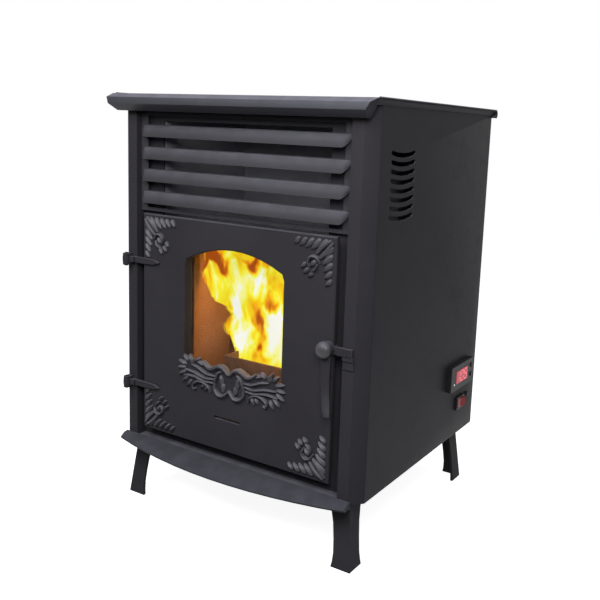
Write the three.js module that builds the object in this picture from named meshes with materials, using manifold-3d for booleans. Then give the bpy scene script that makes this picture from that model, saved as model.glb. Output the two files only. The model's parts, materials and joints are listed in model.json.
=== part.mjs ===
// Pellet stove: folded steel casing on four splayed legs, cast door, hopper, auger feed and two blowers.
// Millimetres, +Z up, front towards -Y. The front face of the casing is the plane y = 0 until the last line.
import * as THREE from "three";
import { mergeVertices } from "three/addons/utils/BufferGeometryUtils.js";
import Module from "manifold-3d";

const wasm = await Module();
wasm.setup();

// ---------------------------------------------------------------- driving dimensions

const seat = 0.3; // gap between pieces that rest on each other
const runningGap = 0.35; // radial gap of a pin or shaft in its bore

// Casing
const bodyWidth = 508;
const bodyDepth = 448;
const bodyHeight = 600;
const casingSheet = 2;
const cornerChamfer = 19;
const postFace = 20;
const postReturn = 20;
const rearFlange = 20;
const basePlateThickness = 3;
const frontPlateThickness = 3;

// Side vents
const ventCount = 8;
const ventPitch = 13.7;
const ventLength = 74;
const ventHeight = 7;
const ventSag = 4;
const ventFromFront = 92;
const ventBelowTop = 62;

// Legs
const legHeight = 116;
const legFootInset = 13;
const legFootSetback = 6;
const legSplay = 13;
const legFootWall = 36;
const legWaistWall = 30;
const legTopWall = 44;
const legThickness = 5;

// Top plate
const topOverhang = 8;
const topHeight = 15;
const topSheet = 2.5;
const topRearReach = 8;
const noseReach = 29;
const noseDrop = 14;
const noseTopBack = 8;
const noseShoulder = [26.5, 8];
const noseLipBack = 13;
const noseMitre = 16; // how far the ends of the nose slant inwards from top to bottom
const panelRise = 5; // the side panels stand this far up inside the top plate

// Louvre
const louvreCount = 4;
const louvrePitch = 37.7;
const louvreLowestLip = 430;
const louvreProjection = 12;
const louvreSlat = 20;
const louvreLipRise = 11;
const louvreRoot = 0.5;
const louvreSheet = 1.6;
const louvreEnd = 13;
const louvreBorder = 14;

// Ledge under the door
const ledgeInset = 14;
const ledgeEndReach = 17;
const ledgeMiddleReach = 52;
const ledgeRise = 6.5;
const ledgeDrop = 5;
const ledgeFlange = 40;

// Door
const doorSideGap = 16.6;
const doorLow = 23;
const doorHeight = 389;
const doorThickness = 9;
const doorEdge = 1.6;
const windowHalf = 103;
const windowSill = 150;
const windowSpring = 344;
const windowRise = 24;
const windowCorner = 12;
const windowRimDepth = 9;
const windowRimWall = 8;
const glassThickness = 5;
const glassOverlap = 9;
const glassGasketThickness = 2;
const retainerSheet = 1.5;
const retainerInset = 20;
const doorGasketWidth = 9;
const doorGasketInset = 22.4;
const doorSlotLength = 56;
const doorSlotHeight = 5;
const doorSlotHeightUp = 80;
const reliefHeight = 5;
const reliefRoot = 1.8;

// Hinges
const hingeFromSide = 24;
const hingeAxisY = -10;
const hingeUpperHeight = 329;
const hingeLowerHeight = 104;
const hingeEyeRadius = 6.5;
const hingeEyeHeight = 10;
const hingeLugHeight = 5;
const hingePinRadius = 2.6;
const strapLength = 50;
const strapThickness = 5;

// Handle
const handleFromDoorEdge = 8.4;
const handleHeight = 241;
const spindleRadius = 6;
const armThickness = 5;
const armLength = 45;
const armWidth = 12;
const leverThickness = 5.5;
const leverLength = 100;
const leverWidth = 18;
const latchGap = 1.2; // between the arm and the keeper's shelf
const bossRadius = 13.5;
const bossHeight = 12;
const bossRim = 3;
const spindleFoot = 3;

// Hopper and lid
const hopperInset = 14; // from the side of the firebox to the side of the hopper
const hopperDepth = 180;
const hopperRear = 18;
const hopperFunnelTop = 340;
const hopperOutlet = 44;
const hopperSheet = 1.5;
const lidThickness = 3;
const lidRimDepth = 10;
const lidPinRadius = 2.2;
const lidKnuckleRadius = 4.6;
const lidKnuckleWidth = 29;

// Auger
const augerTubeRadius = 30;
const augerTubeWall = 2;
const augerLength = 236;
const augerFromBack = 76;
const augerLowHeight = 158;
const augerTilt = 52.4;
const augerShaftRadius = 9;
const augerFlightGap = 2.5;
const augerPitch = 45;
const augerFlight = 3;
const gearboxSize = [34, 28, 41];
const driveMotorRadius = 24;
const driveMotorLength = 42;

// Firebox
const fireboxInset = 26.4; // from the edge of the door to the side of the firebox
const feedDepth = 243.4; // from the back of the firebox to the back of the casing
const fireboxLow = 43;
const fireboxHigh = 398;
const fireboxWall = 3;
const mouthInset = 12;
const mouthLow = 46;
const mouthHigh = 385;
const deckHeight = 92;
const deckThickness = 3;
const linerThickness = 12;
const igniterRadius = 5;
const igniterCollar = 11;
const chuteRun = 46;
const chuteDrop = 44;
const chuteSheet = 2;
const potHalf = 63;
const potFront = 60;
const potFromBack = 54.6;
const potTop = 168;
const potBottom = 82;
const potWall = 4;
const potShoulder = 6;
const potFlare = 4;
const potHoleRadius = 4;
const potHoleColumn = 30;
const ashPanHeight = 34;
const ashPanWall = 1.5;

// Air and smoke
const flueRadius = 38;
const flueReach = 50;
const pipeWall = 2;
const flueX = -122;
const flueHeight = 120;
const airPipeRadius = 21;
const airPipeHeight = 66;
const airPipeReach = 22;
const blowerWall = 2;
const exhaustRadius = 60;
const exhaustWidth = 55;
const exhaustFromBack = 158;
const exhaustHeight = 95;
const exhaustEye = 26;
const fanRadius = 65;
const fanWidth = 60;
const fanX = 100;
const fanFromBack = 173;
const fanHeight = 100;
const fanEye = 40;
const grilleSlots = 7;
const grillePitch = 12;
const grilleSlotHeight = 5;
const motorRadius = 30;
const motorLength = 55;
const motorShaftRadius = 4;
const shaftIntoMotor = 28;
const wheelGap = 12;
const exhaustWheelWidth = 26;
const fanWheelWidth = 34;
const ductDepth = 37;
const plenumTop = 575;

// Controls on the right side
const controlLength = 104;
const controlHeight = 48;
const controlProud = 9.5;
const controlFromBack = 83;
const controlUp = 121;
const controlBehind = 32;
const displayProud = 0.4;
const displayPocket = 2;
const displayLength = 52;
const displayHeight = 24;
const buttonRadius = 4.5;
const buttonTravel = 1.2;
const buttonProud = 2;
const buttonWell = 8;
const rockerLength = 34;
const rockerHeight = 25;
const rockerProud = 4.5;
const rockerTilt = 8;
const rockerBehind = 22;
const rockerAxleRadius = 1.6;
const rockerFromBack = 71;
const rockerUp = 62;
const fuseRadius = 5;
const fuseProud = 4.5;
const fuseBehind = 14;
const powerInletFromSide = 64;

// ---------------------------------------------------------------- places worked out from them

const bottom = legHeight;
const top = bottom + bodyHeight;
const half = bodyWidth / 2;
const postInner = half - cornerChamfer - postFace;
const doorHalf = postInner - doorSideGap;
const doorBottom = bottom + doorLow;
const doorTop = doorBottom + doorHeight;
const frontPlateY = postReturn + seat;
const fireboxY = frontPlateY + frontPlateThickness + seat;
const fireboxHalf = doorHalf - fireboxInset;
const fireboxBack = bodyDepth - feedDepth;
const fireboxZ = [bottom + fireboxLow, bottom + fireboxHigh];
const backPanelY = bodyDepth - 2 * casingSheet - seat;
const hopperBackY = bodyDepth - hopperRear;
const hopperFrontY = hopperBackY - hopperDepth;
const glassY = doorThickness + windowRimDepth + seat;
const ledgeHalfWidth = half - ledgeInset;
const hingeAxisX = hingeFromSide - half;
const handleX = doorHalf - handleFromDoorEdge;
const hopperWidth = 2 * (fireboxHalf - hopperInset);
const mouthHalf = fireboxHalf - mouthInset;
const potDepth = fireboxBack - potFromBack - potFront;
const augerLowY = bodyDepth - augerFromBack;
const exhaustY = bodyDepth - exhaustFromBack;
const fanY = bodyDepth - fanFromBack;
const controlY = bodyDepth - controlFromBack;
const rockerY = bodyDepth - rockerFromBack;

// ---------------------------------------------------------------- solids from three.js geometry

const bases = {
  x: [new THREE.Vector3(0, 1, 0), new THREE.Vector3(0, 0, 1), new THREE.Vector3(1, 0, 0)],
  y: [new THREE.Vector3(1, 0, 0), new THREE.Vector3(0, 0, 1), new THREE.Vector3(0, -1, 0)],
  z: [new THREE.Vector3(1, 0, 0), new THREE.Vector3(0, 1, 0), new THREE.Vector3(0, 0, 1)],
};

// A closed geometry as a solid that can be joined and cut.
function toSolid(geometry) {
  const bare = geometry.clone();
  bare.deleteAttribute("normal");
  bare.deleteAttribute("uv");
  const merged = mergeVertices(bare, 1e-4);
  return new wasm.Manifold(
    new wasm.Mesh({
      numProp: 3,
      vertProperties: new Float32Array(merged.attributes.position.array),
      triVerts: new Uint32Array(merged.index.array),
    }),
  );
}

function toGeometry(solid) {
  const mesh = solid.getMesh();
  const geometry = new THREE.BufferGeometry();
  geometry.setAttribute("position", new THREE.BufferAttribute(mesh.vertProperties, 3));
  geometry.setIndex(new THREE.BufferAttribute(mesh.triVerts, 1));
  geometry.computeVertexNormals();
  return geometry;
}

function join(...solids) {
  return solids.reduce((whole, solid) => whole.add(solid));
}

function cut(solid, ...tools) {
  return tools.reduce((rest, tool) => rest.subtract(tool), solid);
}

function block([x0, x1], [y0, y1], [z0, z1]) {
  const geometry = new THREE.BoxGeometry(Math.abs(x1 - x0), Math.abs(y1 - y0), Math.abs(z1 - z0));
  return toSolid(geometry.translate((x0 + x1) / 2, (y0 + y1) / 2, (z0 + z1) / 2));
}

// Turns a shape drawn as (u, v) into a bar along an axis: x takes (y, z), y takes (x, z), z takes (x, y).
function bar(outline, axis, from, to, holes = []) {
  const shape = outline instanceof THREE.Shape ? outline : shapeOf(outline);
  shape.holes.push(...holes.map((hole) => (hole instanceof THREE.Path ? hole : shapeOf(hole))));
  const geometry = new THREE.ExtrudeGeometry(shape, {
    depth: Math.abs(to - from),
    bevelEnabled: false,
    curveSegments: 8,
  });
  const start = axis === "y" ? Math.max(from, to) : Math.min(from, to);
  const place = new THREE.Matrix4().makeBasis(...bases[axis]);
  place.setPosition(axis === "x" ? start : 0, axis === "y" ? start : 0, axis === "z" ? start : 0);
  return toSolid(geometry.applyMatrix4(place));
}

function shapeOf(points) {
  return new THREE.Shape(points.map(([u, v]) => new THREE.Vector2(u, v)));
}

// A round bar along an axis through (a, b), the other two coordinates in x, y, z order.
function rod(axis, radius, from, to, a, b, sides = 20, endRadius = radius) {
  const length = Math.abs(to - from);
  const geometry = new THREE.CylinderGeometry(endRadius, radius, length, sides);
  const middle = (from + to) / 2;
  if (axis === "x") {
    geometry.rotateZ(-Math.PI / 2).translate(middle, a, b);
  } else if (axis === "y") {
    geometry.translate(a, middle, b);
  } else {
    geometry.rotateX(Math.PI / 2).translate(a, b, middle);
  }
  return toSolid(geometry);
}

function pipe(axis, radius, wall, from, to, a, b, sides = 24) {
  return cut(rod(axis, radius, from, to, a, b, sides), rod(axis, radius - wall, from - 1, to + 1, a, b, sides));
}

// A folded sheet: the path is one face of the metal, and a positive thickness lies to its left.
function sheet(path, thickness, axis, from, to) {
  const points = path.map(([u, v]) => new THREE.Vector2(u, v));
  const along = (a, b) => b.clone().sub(a).normalize();
  const offset = points.map((point, i) => {
    const before = along(points[Math.max(i - 1, 0)], points[Math.max(i, 1)]);
    const after = along(points[Math.min(i, points.length - 2)], points[Math.min(i + 1, points.length - 1)]);
    const normal = new THREE.Vector2(-before.y, before.x);
    const mitre = normal.clone().add(new THREE.Vector2(-after.y, after.x)).normalize();
    return point.clone().addScaledVector(mitre, thickness / mitre.dot(normal));
  });
  const outline = [...points, ...offset.reverse()].map((point) => [point.x, point.y]);
  return bar(outline, axis, from, to);
}

// A solid through closed rings of 3-D points, each ring with the same number of points.
function loft(rings) {
  const count = rings[0].length;
  const positions = rings.flat(2);
  const faces = [];
  for (let r = 0; r < rings.length - 1; r += 1) {
    for (let i = 0; i < count; i += 1) {
      const a = r * count + i;
      const b = r * count + ((i + 1) % count);
      faces.push([a, b, b + count], [a, b + count, a + count]);
    }
  }
  const last = (rings.length - 1) * count;
  capFaces(rings[0]).forEach(([a, b, c]) => faces.push([c, b, a]));
  capFaces(rings[rings.length - 1]).forEach(([a, b, c]) => faces.push([last + a, last + b, last + c]));
  const geometry = new THREE.BufferGeometry();
  geometry.setAttribute("position", new THREE.Float32BufferAttribute(positions, 3));
  const inverted = enclosedVolume(positions, faces) < 0;
  geometry.setIndex(faces.flatMap((face) => (inverted ? [...face].reverse() : face)));
  return toSolid(geometry);
}

// The triangles that close a flat ring, in the ring's own turning sense.
function capFaces(ring) {
  const normal = new THREE.Vector3();
  ring.forEach((point, i) => {
    const next = ring[(i + 1) % ring.length];
    normal.add(new THREE.Vector3(...point).cross(new THREE.Vector3(...next)));
  });
  const sizes = [Math.abs(normal.x), Math.abs(normal.y), Math.abs(normal.z)];
  const dropped = sizes.indexOf(Math.max(...sizes));
  const kept = [0, 1, 2].filter((axis) => axis !== dropped);
  const flat = ring.map((point) => new THREE.Vector2(point[kept[0]], point[kept[1]]));
  const turns = THREE.ShapeUtils.isClockWise(flat);
  const faces = THREE.ShapeUtils.triangulateShape(turns ? [...flat].reverse() : flat, []);
  return faces.map((face) => (turns ? face.map((i) => flat.length - 1 - i).reverse() : face));
}

function enclosedVolume(positions, faces) {
  const corner = (i) => new THREE.Vector3(...positions.slice(3 * i, 3 * i + 3));
  return faces.reduce((sum, [a, b, c]) => sum + corner(a).dot(corner(b).cross(corner(c))), 0);
}

// ---------------------------------------------------------------- materials and scene graph

function material(color, roughness, metalness, opacity = 1) {
  return new THREE.MeshStandardMaterial({ color, roughness, metalness, opacity, transparent: opacity < 1 });
}

const paint = material(0x2f2e33, 0.55, 0.35);
const iron = material(0x2a2a2d, 0.6, 0.45);
const steel = material(0x8a8c90, 0.4, 0.9);
const galvanised = material(0x9aa0a3, 0.5, 0.8);
const firedSteel = material(0x4a3a32, 0.8, 0.4);
const brick = material(0xb08a62, 0.9, 0);
const rope = material(0x3a3a38, 0.95, 0);
const glass = material(0x33261c, 0.08, 0, 0.35);
const motorBlack = material(0x1c1c1e, 0.5, 0.3);
const blackPlastic = material(0x161618, 0.4, 0);
const redPlastic = material(0xb01c20, 0.35, 0);
const redDisplay = material(0x3a0608, 0.15, 0);

const stove = new THREE.Group();

function piece(name, solid, finish, parent = stove) {
  const mesh = new THREE.Mesh(toGeometry(solid), finish);
  mesh.name = name;
  parent.add(mesh);
}

// ---------------------------------------------------------------- casing

// One arc-shaped vent slot in (y, z), sagging in the middle.
function ventOutline(y, z) {
  const steps = 4;
  const edge = (offset) =>
    Array.from({ length: steps + 1 }, (_, i) => {
      const share = (2 * i) / steps - 1;
      return [y + (share * ventLength) / 2, z + offset - ventSag * (1 - share * share)];
    });
  const cap = (side) => [y + side * (ventLength / 2 + ventHeight / 2), z];
  return [...edge(-ventHeight / 2), cap(1), ...edge(ventHeight / 2).reverse(), cap(-1)];
}

function vents(side) {
  const outside = side * (half + 1);
  const inside = side * (half - casingSheet - 1);
  return Array.from({ length: ventCount }, (_, i) =>
    bar(ventOutline(ventFromFront, top - ventBelowTop - i * ventPitch), "x", inside, outside),
  );
}

function sidePanel(side) {
  const path = [
    [half - rearFlange, bodyDepth],
    [half, bodyDepth],
    [half, cornerChamfer],
    [half - cornerChamfer, 0],
    [postInner, 0],
    [postInner, postReturn],
  ];
  const mirrored = path.map(([x, y]) => [side * x, y]);
  return cut(sheet(mirrored, -side * casingSheet, "z", bottom, top + panelRise), ...vents(side));
}

const controlBodyLength = controlLength - 10;
const controlBodyHeight = controlHeight - 8;
const rockerBodyLength = rockerLength - 4;
const rockerBodyHeight = rockerHeight - 3;
const fuseY = rockerY + rockerLength / 2 + 18;
const fuseZ = bottom + rockerUp + 7;

function controlOpenings() {
  const through = [half - casingSheet - 1, half + 1];
  const control = block(
    through,
    [controlY - controlBodyLength / 2 - seat, controlY + controlBodyLength / 2 + seat],
    [bottom + controlUp - controlBodyHeight / 2 - seat, bottom + controlUp + controlBodyHeight / 2 + seat],
  );
  const rocker = block(
    through,
    [rockerY - rockerBodyLength / 2 - seat, rockerY + rockerBodyLength / 2 + seat],
    [bottom + rockerUp - rockerBodyHeight / 2 - seat, bottom + rockerUp + rockerBodyHeight / 2 + seat],
  );
  return [control, rocker, rod("x", fuseRadius - 1 + seat, ...through, fuseY, fuseZ, 16)];
}

function basePlate() {
  const inner = half - casingSheet - seat;
  const tongue = postInner - seat;
  const frontEdge = postReturn + seat;
  const rear = backPanelY + casingSheet;
  const outline = [
    [-inner, frontEdge],
    [-tongue, frontEdge],
    [-tongue, 1],
    [tongue, 1],
    [tongue, frontEdge],
    [inner, frontEdge],
    [inner, rear],
    [-inner, rear],
  ];
  return bar(outline, "z", bottom, bottom + basePlateThickness);
}

function frontPlate() {
  const inner = half - casingSheet - seat;
  const y = [frontPlateY, frontPlateY + frontPlateThickness];
  const through = [y[0] - 1, y[1] + 1];
  const plate = block([-inner, inner], y, [bottom + basePlateThickness + seat, top]);
  const mouth = block([-mouthHalf, mouthHalf], through, [bottom + mouthLow, bottom + mouthHigh]);
  const airWayHalf = fireboxHalf - casingSheet;
  const airWay = block([-airWayHalf, airWayHalf], through, [fireboxZ[1] + 6, bottom + plenumTop - 4]);
  return cut(plate, mouth, airWay);
}

const powerInletX = half - powerInletFromSide;
const powerInletZ = bottom + 60;
const powerInletSize = [27, 20];

function backPanel() {
  const inner = half - casingSheet - seat;
  const y = [backPanelY, backPanelY + casingSheet];
  const through = [y[0] - 1, y[1] + 1];
  const plate = block([-inner, inner], y, [bottom + basePlateThickness + seat, top]);
  const grille = Array.from({ length: grilleSlots }, (_, i) => {
    const z = bottom + fanHeight + (i - (grilleSlots - 1) / 2) * grillePitch;
    return block([fanX - fanEye, fanX + fanEye], through, [z - grilleSlotHeight / 2, z + grilleSlotHeight / 2]);
  });
  return cut(
    plate,
    rod("y", flueRadius + 2 * seat, ...through, flueX, bottom + flueHeight, 24),
    rod("y", airPipeRadius + seat, ...through, 0, bottom + airPipeHeight, 24),
    block(
      [powerInletX - powerInletSize[0] / 2 - seat, powerInletX + powerInletSize[0] / 2 + seat],
      through,
      [powerInletZ - powerInletSize[1] / 2 - seat, powerInletZ + powerInletSize[1] / 2 + seat],
    ),
    ...grille,
  );
}

// ---------------------------------------------------------------- top plate, lid and hopper

const lidY = [hopperFrontY - 6, hopperBackY - 4];
const lidHalf = hopperWidth / 2 - 2;
const openingHalf = lidHalf - 6;
const openingY = [lidY[0] + 6, lidY[1] - 6];
const lidZ = top + topHeight + seat;
const lidPinY = lidY[1] + lidKnuckleRadius + 1.4;
const lidPinZ = lidZ + lidKnuckleRadius + 1;
const lidKnuckleX = [60, 60 + lidKnuckleWidth + 0.6];

function lidKnuckle(x, rootY, rootZ) {
  const span = [x, x + lidKnuckleWidth];
  const barrel = rod("x", lidKnuckleRadius, ...span, lidPinY, lidPinZ, 16);
  const web = block(span, [Math.min(rootY, lidPinY), Math.max(rootY, lidPinY)], [rootZ, lidPinZ]);
  const bore = rod("x", lidPinRadius + runningGap, span[0] - 1, span[1] + 1, lidPinY, lidPinZ, 16);
  return cut(join(barrel, web), bore);
}

function topPlate() {
  const width = half + topOverhang;
  const rear = bodyDepth + topRearReach;
  const nose = [
    [-noseTopBack, top + topHeight],
    [-noseShoulder[0], top + noseShoulder[1]],
    [-noseReach, top - 3],
    [-noseLipBack, top - noseDrop],
    [-2, top - noseDrop],
  ];
  const profile = [
    [rear - 3, top + 1],
    [rear, top + 5],
    [rear, top + topHeight - 4],
    [rear - 4, top + topHeight],
    ...nose,
  ];
  // Everything outside one slanted end of the nose, or outside a plane that lies an inset within it.
  const beyondEnd = (side, inset) => {
    const outline = [
      [side * (width - inset + 0.6), top + topHeight + 1],
      [side * (width + 1), top + topHeight + 1],
      [side * (width + 1), top - noseDrop - 1],
      [side * (width - inset - noseMitre), top - noseDrop - 1],
    ];
    return bar(outline, "y", -noseReach - 1, -2);
  };
  const folded = cut(sheet(profile, topSheet, "x", -width, width), beyondEnd(-1, 0), beyondEnd(1, 0));
  const restZ = top + panelRise + seat;
  const edge = [-1, 1].map((side) => {
    const path = [
      [side * width, top + topHeight],
      [side * (half + 0.5), restZ],
      [side * (half - 18), restZ],
    ];
    return sheet(path, -side * topSheet, "y", -3, rear - 2);
  });
  const caps = [-1, 1].map((side) => {
    const whole = bar([[-2, top + topHeight], ...nose], "x", side * width, side * (width - noseMitre - 9));
    return cut(whole, beyondEnd(side, 0)).intersect(beyondEnd(side, topSheet));
  });
  const opening = block([-openingHalf, openingHalf], openingY, [top + 1, top + topHeight + 1]);
  const rootZ = top + topHeight - 1;
  const knuckles = [-lidKnuckleX[0] - lidKnuckleWidth, lidKnuckleX[0]].map((x) => lidKnuckle(x, lidPinY + 4, rootZ));
  return join(cut(join(folded, ...edge, ...caps), opening), ...knuckles);
}

function hopperLid() {
  const plate = block([-lidHalf, lidHalf], lidY, [lidZ, lidZ + lidThickness]);
  const lip = block([-lidHalf / 3, lidHalf / 3], [lidY[0] - 9, lidY[0] + 1], [lidZ + 1, lidZ + lidThickness]);
  const rimOuter = [openingHalf - 3, openingY[0] + 3, openingY[1] - 3];
  const rimZ = [lidZ - lidRimDepth, lidZ + 1];
  const rim = cut(
    block([-rimOuter[0], rimOuter[0]], [rimOuter[1], rimOuter[2]], rimZ),
    block([-rimOuter[0] + 2, rimOuter[0] - 2], [rimOuter[1] + 2, rimOuter[2] - 2], [rimZ[0] - 1, rimZ[1] + 1]),
  );
  const rootZ = lidZ + 1;
  const knuckles = [-lidKnuckleX[1] - lidKnuckleWidth, lidKnuckleX[1]].map((x) => lidKnuckle(x, lidY[1] - 3, rootZ));
  return join(plate, lip, rim, ...knuckles);
}

// A four-sided funnel between two level rectangles.
function funnel(lowHalf, lowY, highHalf, highY, zLow, zHigh) {
  const ring = (x, [y0, y1], z) => [
    [-x, y0, z],
    [x, y0, z],
    [x, y1, z],
    [-x, y1, z],
  ];
  return loft([ring(lowHalf, lowY, zLow), ring(highHalf, highY, zHigh)]);
}

const augerSlope = Math.tan(((90 - augerTilt) * Math.PI) / 180);
const outletY = augerLowY - 50;
const outletHalf = hopperOutlet / 2;
const augerAtOutlet = bottom + augerLowHeight + (augerLowY - outletY) * augerSlope;

function augerBore(radius, startBack = 60) {
  const geometry = new THREE.CylinderGeometry(radius, radius, augerLength + 2 * startBack, 24);
  geometry.rotateX(Math.PI / 2).translate(0, 0, augerLength / 2);
  geometry.rotateX((augerTilt * Math.PI) / 180).translate(0, augerLowY, bottom + augerLowHeight);
  return toSolid(geometry);
}

function hopper() {
  const walls = [hopperFrontY, hopperBackY];
  const highHalf = hopperWidth / 2;
  const grow = hopperSheet;
  const rimZ = top + topHeight - topSheet - seat;
  const funnelZ = bottom + hopperFunnelTop;
  const neckTop = augerAtOutlet + 56;
  const neck = [outletY - outletHalf, outletY + outletHalf];
  const shell = (t, below, above) =>
    join(
      block([-highHalf + t, highHalf - t], [walls[0] + t, walls[1] - t], [funnelZ - 0.5, rimZ + above]),
      funnel(outletHalf - t, [neck[0] + t, neck[1] - t], highHalf - t, [walls[0] + t, walls[1] - t], neckTop, funnelZ),
      block([-outletHalf + t, outletHalf - t], [neck[0] + t, neck[1] - t], [augerAtOutlet - below, neckTop + 0.5]),
    );
  return cut(shell(0, 0, 0), shell(grow, 60, 1), augerBore(augerTubeRadius + seat));
}

// ---------------------------------------------------------------- louvre with pressed slats

const louvrePanelY = louvreProjection;

// The section of one slat at a share of its full projection: it curls forward and down to a free lip.
function slatSection(x, lip, share) {
  const reach = louvreProjection * share + louvreRoot;
  const low = lip + (1 - share) * louvreLipRise;
  const high = lip + louvreSlat;
  const steps = 4;
  const face = Array.from({ length: steps + 1 }, (_, i) => {
    const t = i / steps;
    return [louvrePanelY + louvreRoot - reach * Math.sin((t * Math.PI) / 2), high - t ** 1.5 * (high - low)];
  });
  const outer = face.map(([y, z]) => [x, y, z]);
  const inner = face.map(([y, z]) => [x, y + louvreSheet, z - louvreRoot * (1 - share)]);
  return [...outer, ...inner.reverse()];
}

function louvrePanel() {
  const width = postInner - seat;
  const low = bottom + louvreLowestLip - louvreBorder;
  const high = top - noseDrop - 1;
  const path = [
    [postReturn, low],
    [louvrePanelY, low],
    [louvrePanelY, high],
    [postReturn, high],
  ];
  const tray = sheet(path, -louvreSheet, "x", -width, width);
  const slatHalf = width - 3;
  const shares = [0, 0.14, 0.5, 0.86, 1];
  const lips = Array.from({ length: louvreCount }, (_, i) => bottom + louvreLowestLip + i * louvrePitch);
  const slats = lips.map((lip) => {
    const end = (side) =>
      shares.map((share, i) => slatSection(side * (slatHalf - (i * louvreEnd) / (shares.length - 1)), lip, share));
    return loft([...end(-1), ...end(1).reverse()]);
  });
  const openingHalfWidth = slatHalf - louvreEnd;
  const openings = [lips[0] - louvrePitch, ...lips].map((lip, i) => {
    const from = i === 0 ? low + 6 : lip + louvreSlat + 1;
    const to = i === louvreCount ? high - 6 : lip + louvrePitch + louvreSlat - 4;
    return block([-openingHalfWidth, openingHalfWidth], [louvrePanelY - 1, louvrePanelY + louvreSheet + 1], [from, to]);
  });
  return join(cut(tray, ...openings), ...slats);
}

// ---------------------------------------------------------------- ledge and legs

function ashLedge() {
  const stations = 13;
  const section = (x) => {
    const share = 1 - (x / ledgeHalfWidth) ** 2;
    const reach = ledgeEndReach + (ledgeMiddleReach - ledgeEndReach) * share;
    const lowFace = bottom - ledgeDrop;
    return [
      [x, -seat, lowFace],
      [x, -seat, bottom + ledgeRise],
      [x, -reach * 0.45, bottom + ledgeRise - 1.2],
      [x, -reach * 0.8, bottom + ledgeRise - 5],
      [x, -reach, lowFace + 3],
      [x, -reach + 0.8, lowFace],
    ];
  };
  const rings = Array.from({ length: stations }, (_, i) => section(ledgeHalfWidth * ((2 * i) / (stations - 1) - 1)));
  const flangeHalf = half - legFootInset - legTopWall - 20;
  const flange = block([-flangeHalf, flangeHalf], [-1, ledgeFlange], [bottom - ledgeDrop, bottom - seat]);
  return join(loft(rings), flange);
}

// An angle-section leg. Its outer ridge leans out towards the foot, and both walls narrow at a waist.
function leg(sideX, sideY) {
  const footX = half - legFootInset;
  const footY = bodyDepth / 2 - legFootSetback;
  const topZ = bottom - seat;
  const stations = [0, 0.08, 0.2, 0.4, 0.62, 0.8, 0.92, 1];
  const wall = (t) => {
    const flare = Math.max(0, (t - 0.4) / 0.6) ** 3;
    const spread = Math.max(0, (0.3 - t) / 0.3) ** 2;
    return legWaistWall + (legTopWall - legWaistWall) * flare + (legFootWall - legWaistWall) * spread;
  };
  const rings = stations.map((t) => {
    const x = footX - legSplay * t;
    const y = footY - legSplay * t;
    const w = wall(t);
    const corners = [
      [x, y],
      [x - w, y],
      [x - w, y - legThickness],
      [x - legThickness, y - legThickness],
      [x - legThickness, y - w],
      [x, y - w],
    ];
    return corners.map(([px, py]) => [sideX * px, bodyDepth / 2 + sideY * py, t * topZ]);
  });
  const padX = [footX - legSplay - legTopWall, footX - legSplay].map((x) => sideX * x);
  const padY = [footY - legSplay - legTopWall, footY - legSplay].map((y) => bodyDepth / 2 + sideY * y);
  return join(loft(rings), block(padX, padY, [topZ - legThickness, topZ]));
}

// ---------------------------------------------------------------- door

// The arched window: straight sides, small round corners and a shallow arc over the top.
function windowPoints(grow, inset = 0) {
  const x = windowHalf + grow;
  const sill = bottom + windowSill - grow + inset;
  const spring = bottom + windowSpring;
  const rise = windowRise + grow;
  const steps = 10;
  const arch = Array.from({ length: steps + 1 }, (_, i) => {
    const share = 1 - (2 * i) / steps;
    const span = x - windowCorner * 0.35;
    return [share * span, spring + rise * (1 - share * share)];
  });
  return [[-x, sill], [x, sill], [x, spring - windowCorner], ...arch, [-x, spring - windowCorner]];
}

// A raised leaf with a ridge along its middle, narrower towards its tip.
function leaf(x, z, length, width, angle, height = reliefHeight) {
  const geometry = new THREE.SphereGeometry(1, 4, 4);
  geometry.rotateZ(-Math.PI / 2);
  const points = geometry.attributes.position;
  for (let i = 0; i < points.count; i += 1) {
    const taper = 1 - 0.4 * points.getX(i);
    points.setZ(i, points.getZ(i) * taper);
  }
  geometry.scale(length / 2, height, width / 2);
  geometry.rotateY((-angle * Math.PI) / 180).translate(x, 0, z);
  return toSolid(geometry);
}

// A raised ridge along a curve through (x, z) points, thinner and lower at both ends.
function ridge(path, width, height = reliefHeight) {
  const curve = new THREE.CatmullRomCurve3(path.map(([x, z]) => new THREE.Vector3(x, 0, z)));
  const steps = path.length + 1;
  const rings = Array.from({ length: steps + 1 }, (_, i) => {
    const t = i / steps;
    const point = curve.getPoint(t);
    const along = curve.getTangent(t);
    const swell = 0.4 + 0.6 * Math.sqrt(Math.sin(Math.PI * t));
    const section = [
      [-1, reliefRoot],
      [-0.5, -height * swell],
      [0.5, -height * swell],
      [1, reliefRoot],
    ];
    return section.map(([across, y]) => {
      const offset = (across * swell * width) / 2;
      return [point.x - along.z * offset, y, point.z + along.x * offset];
    });
  });
  return loft(rings);
}

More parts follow.
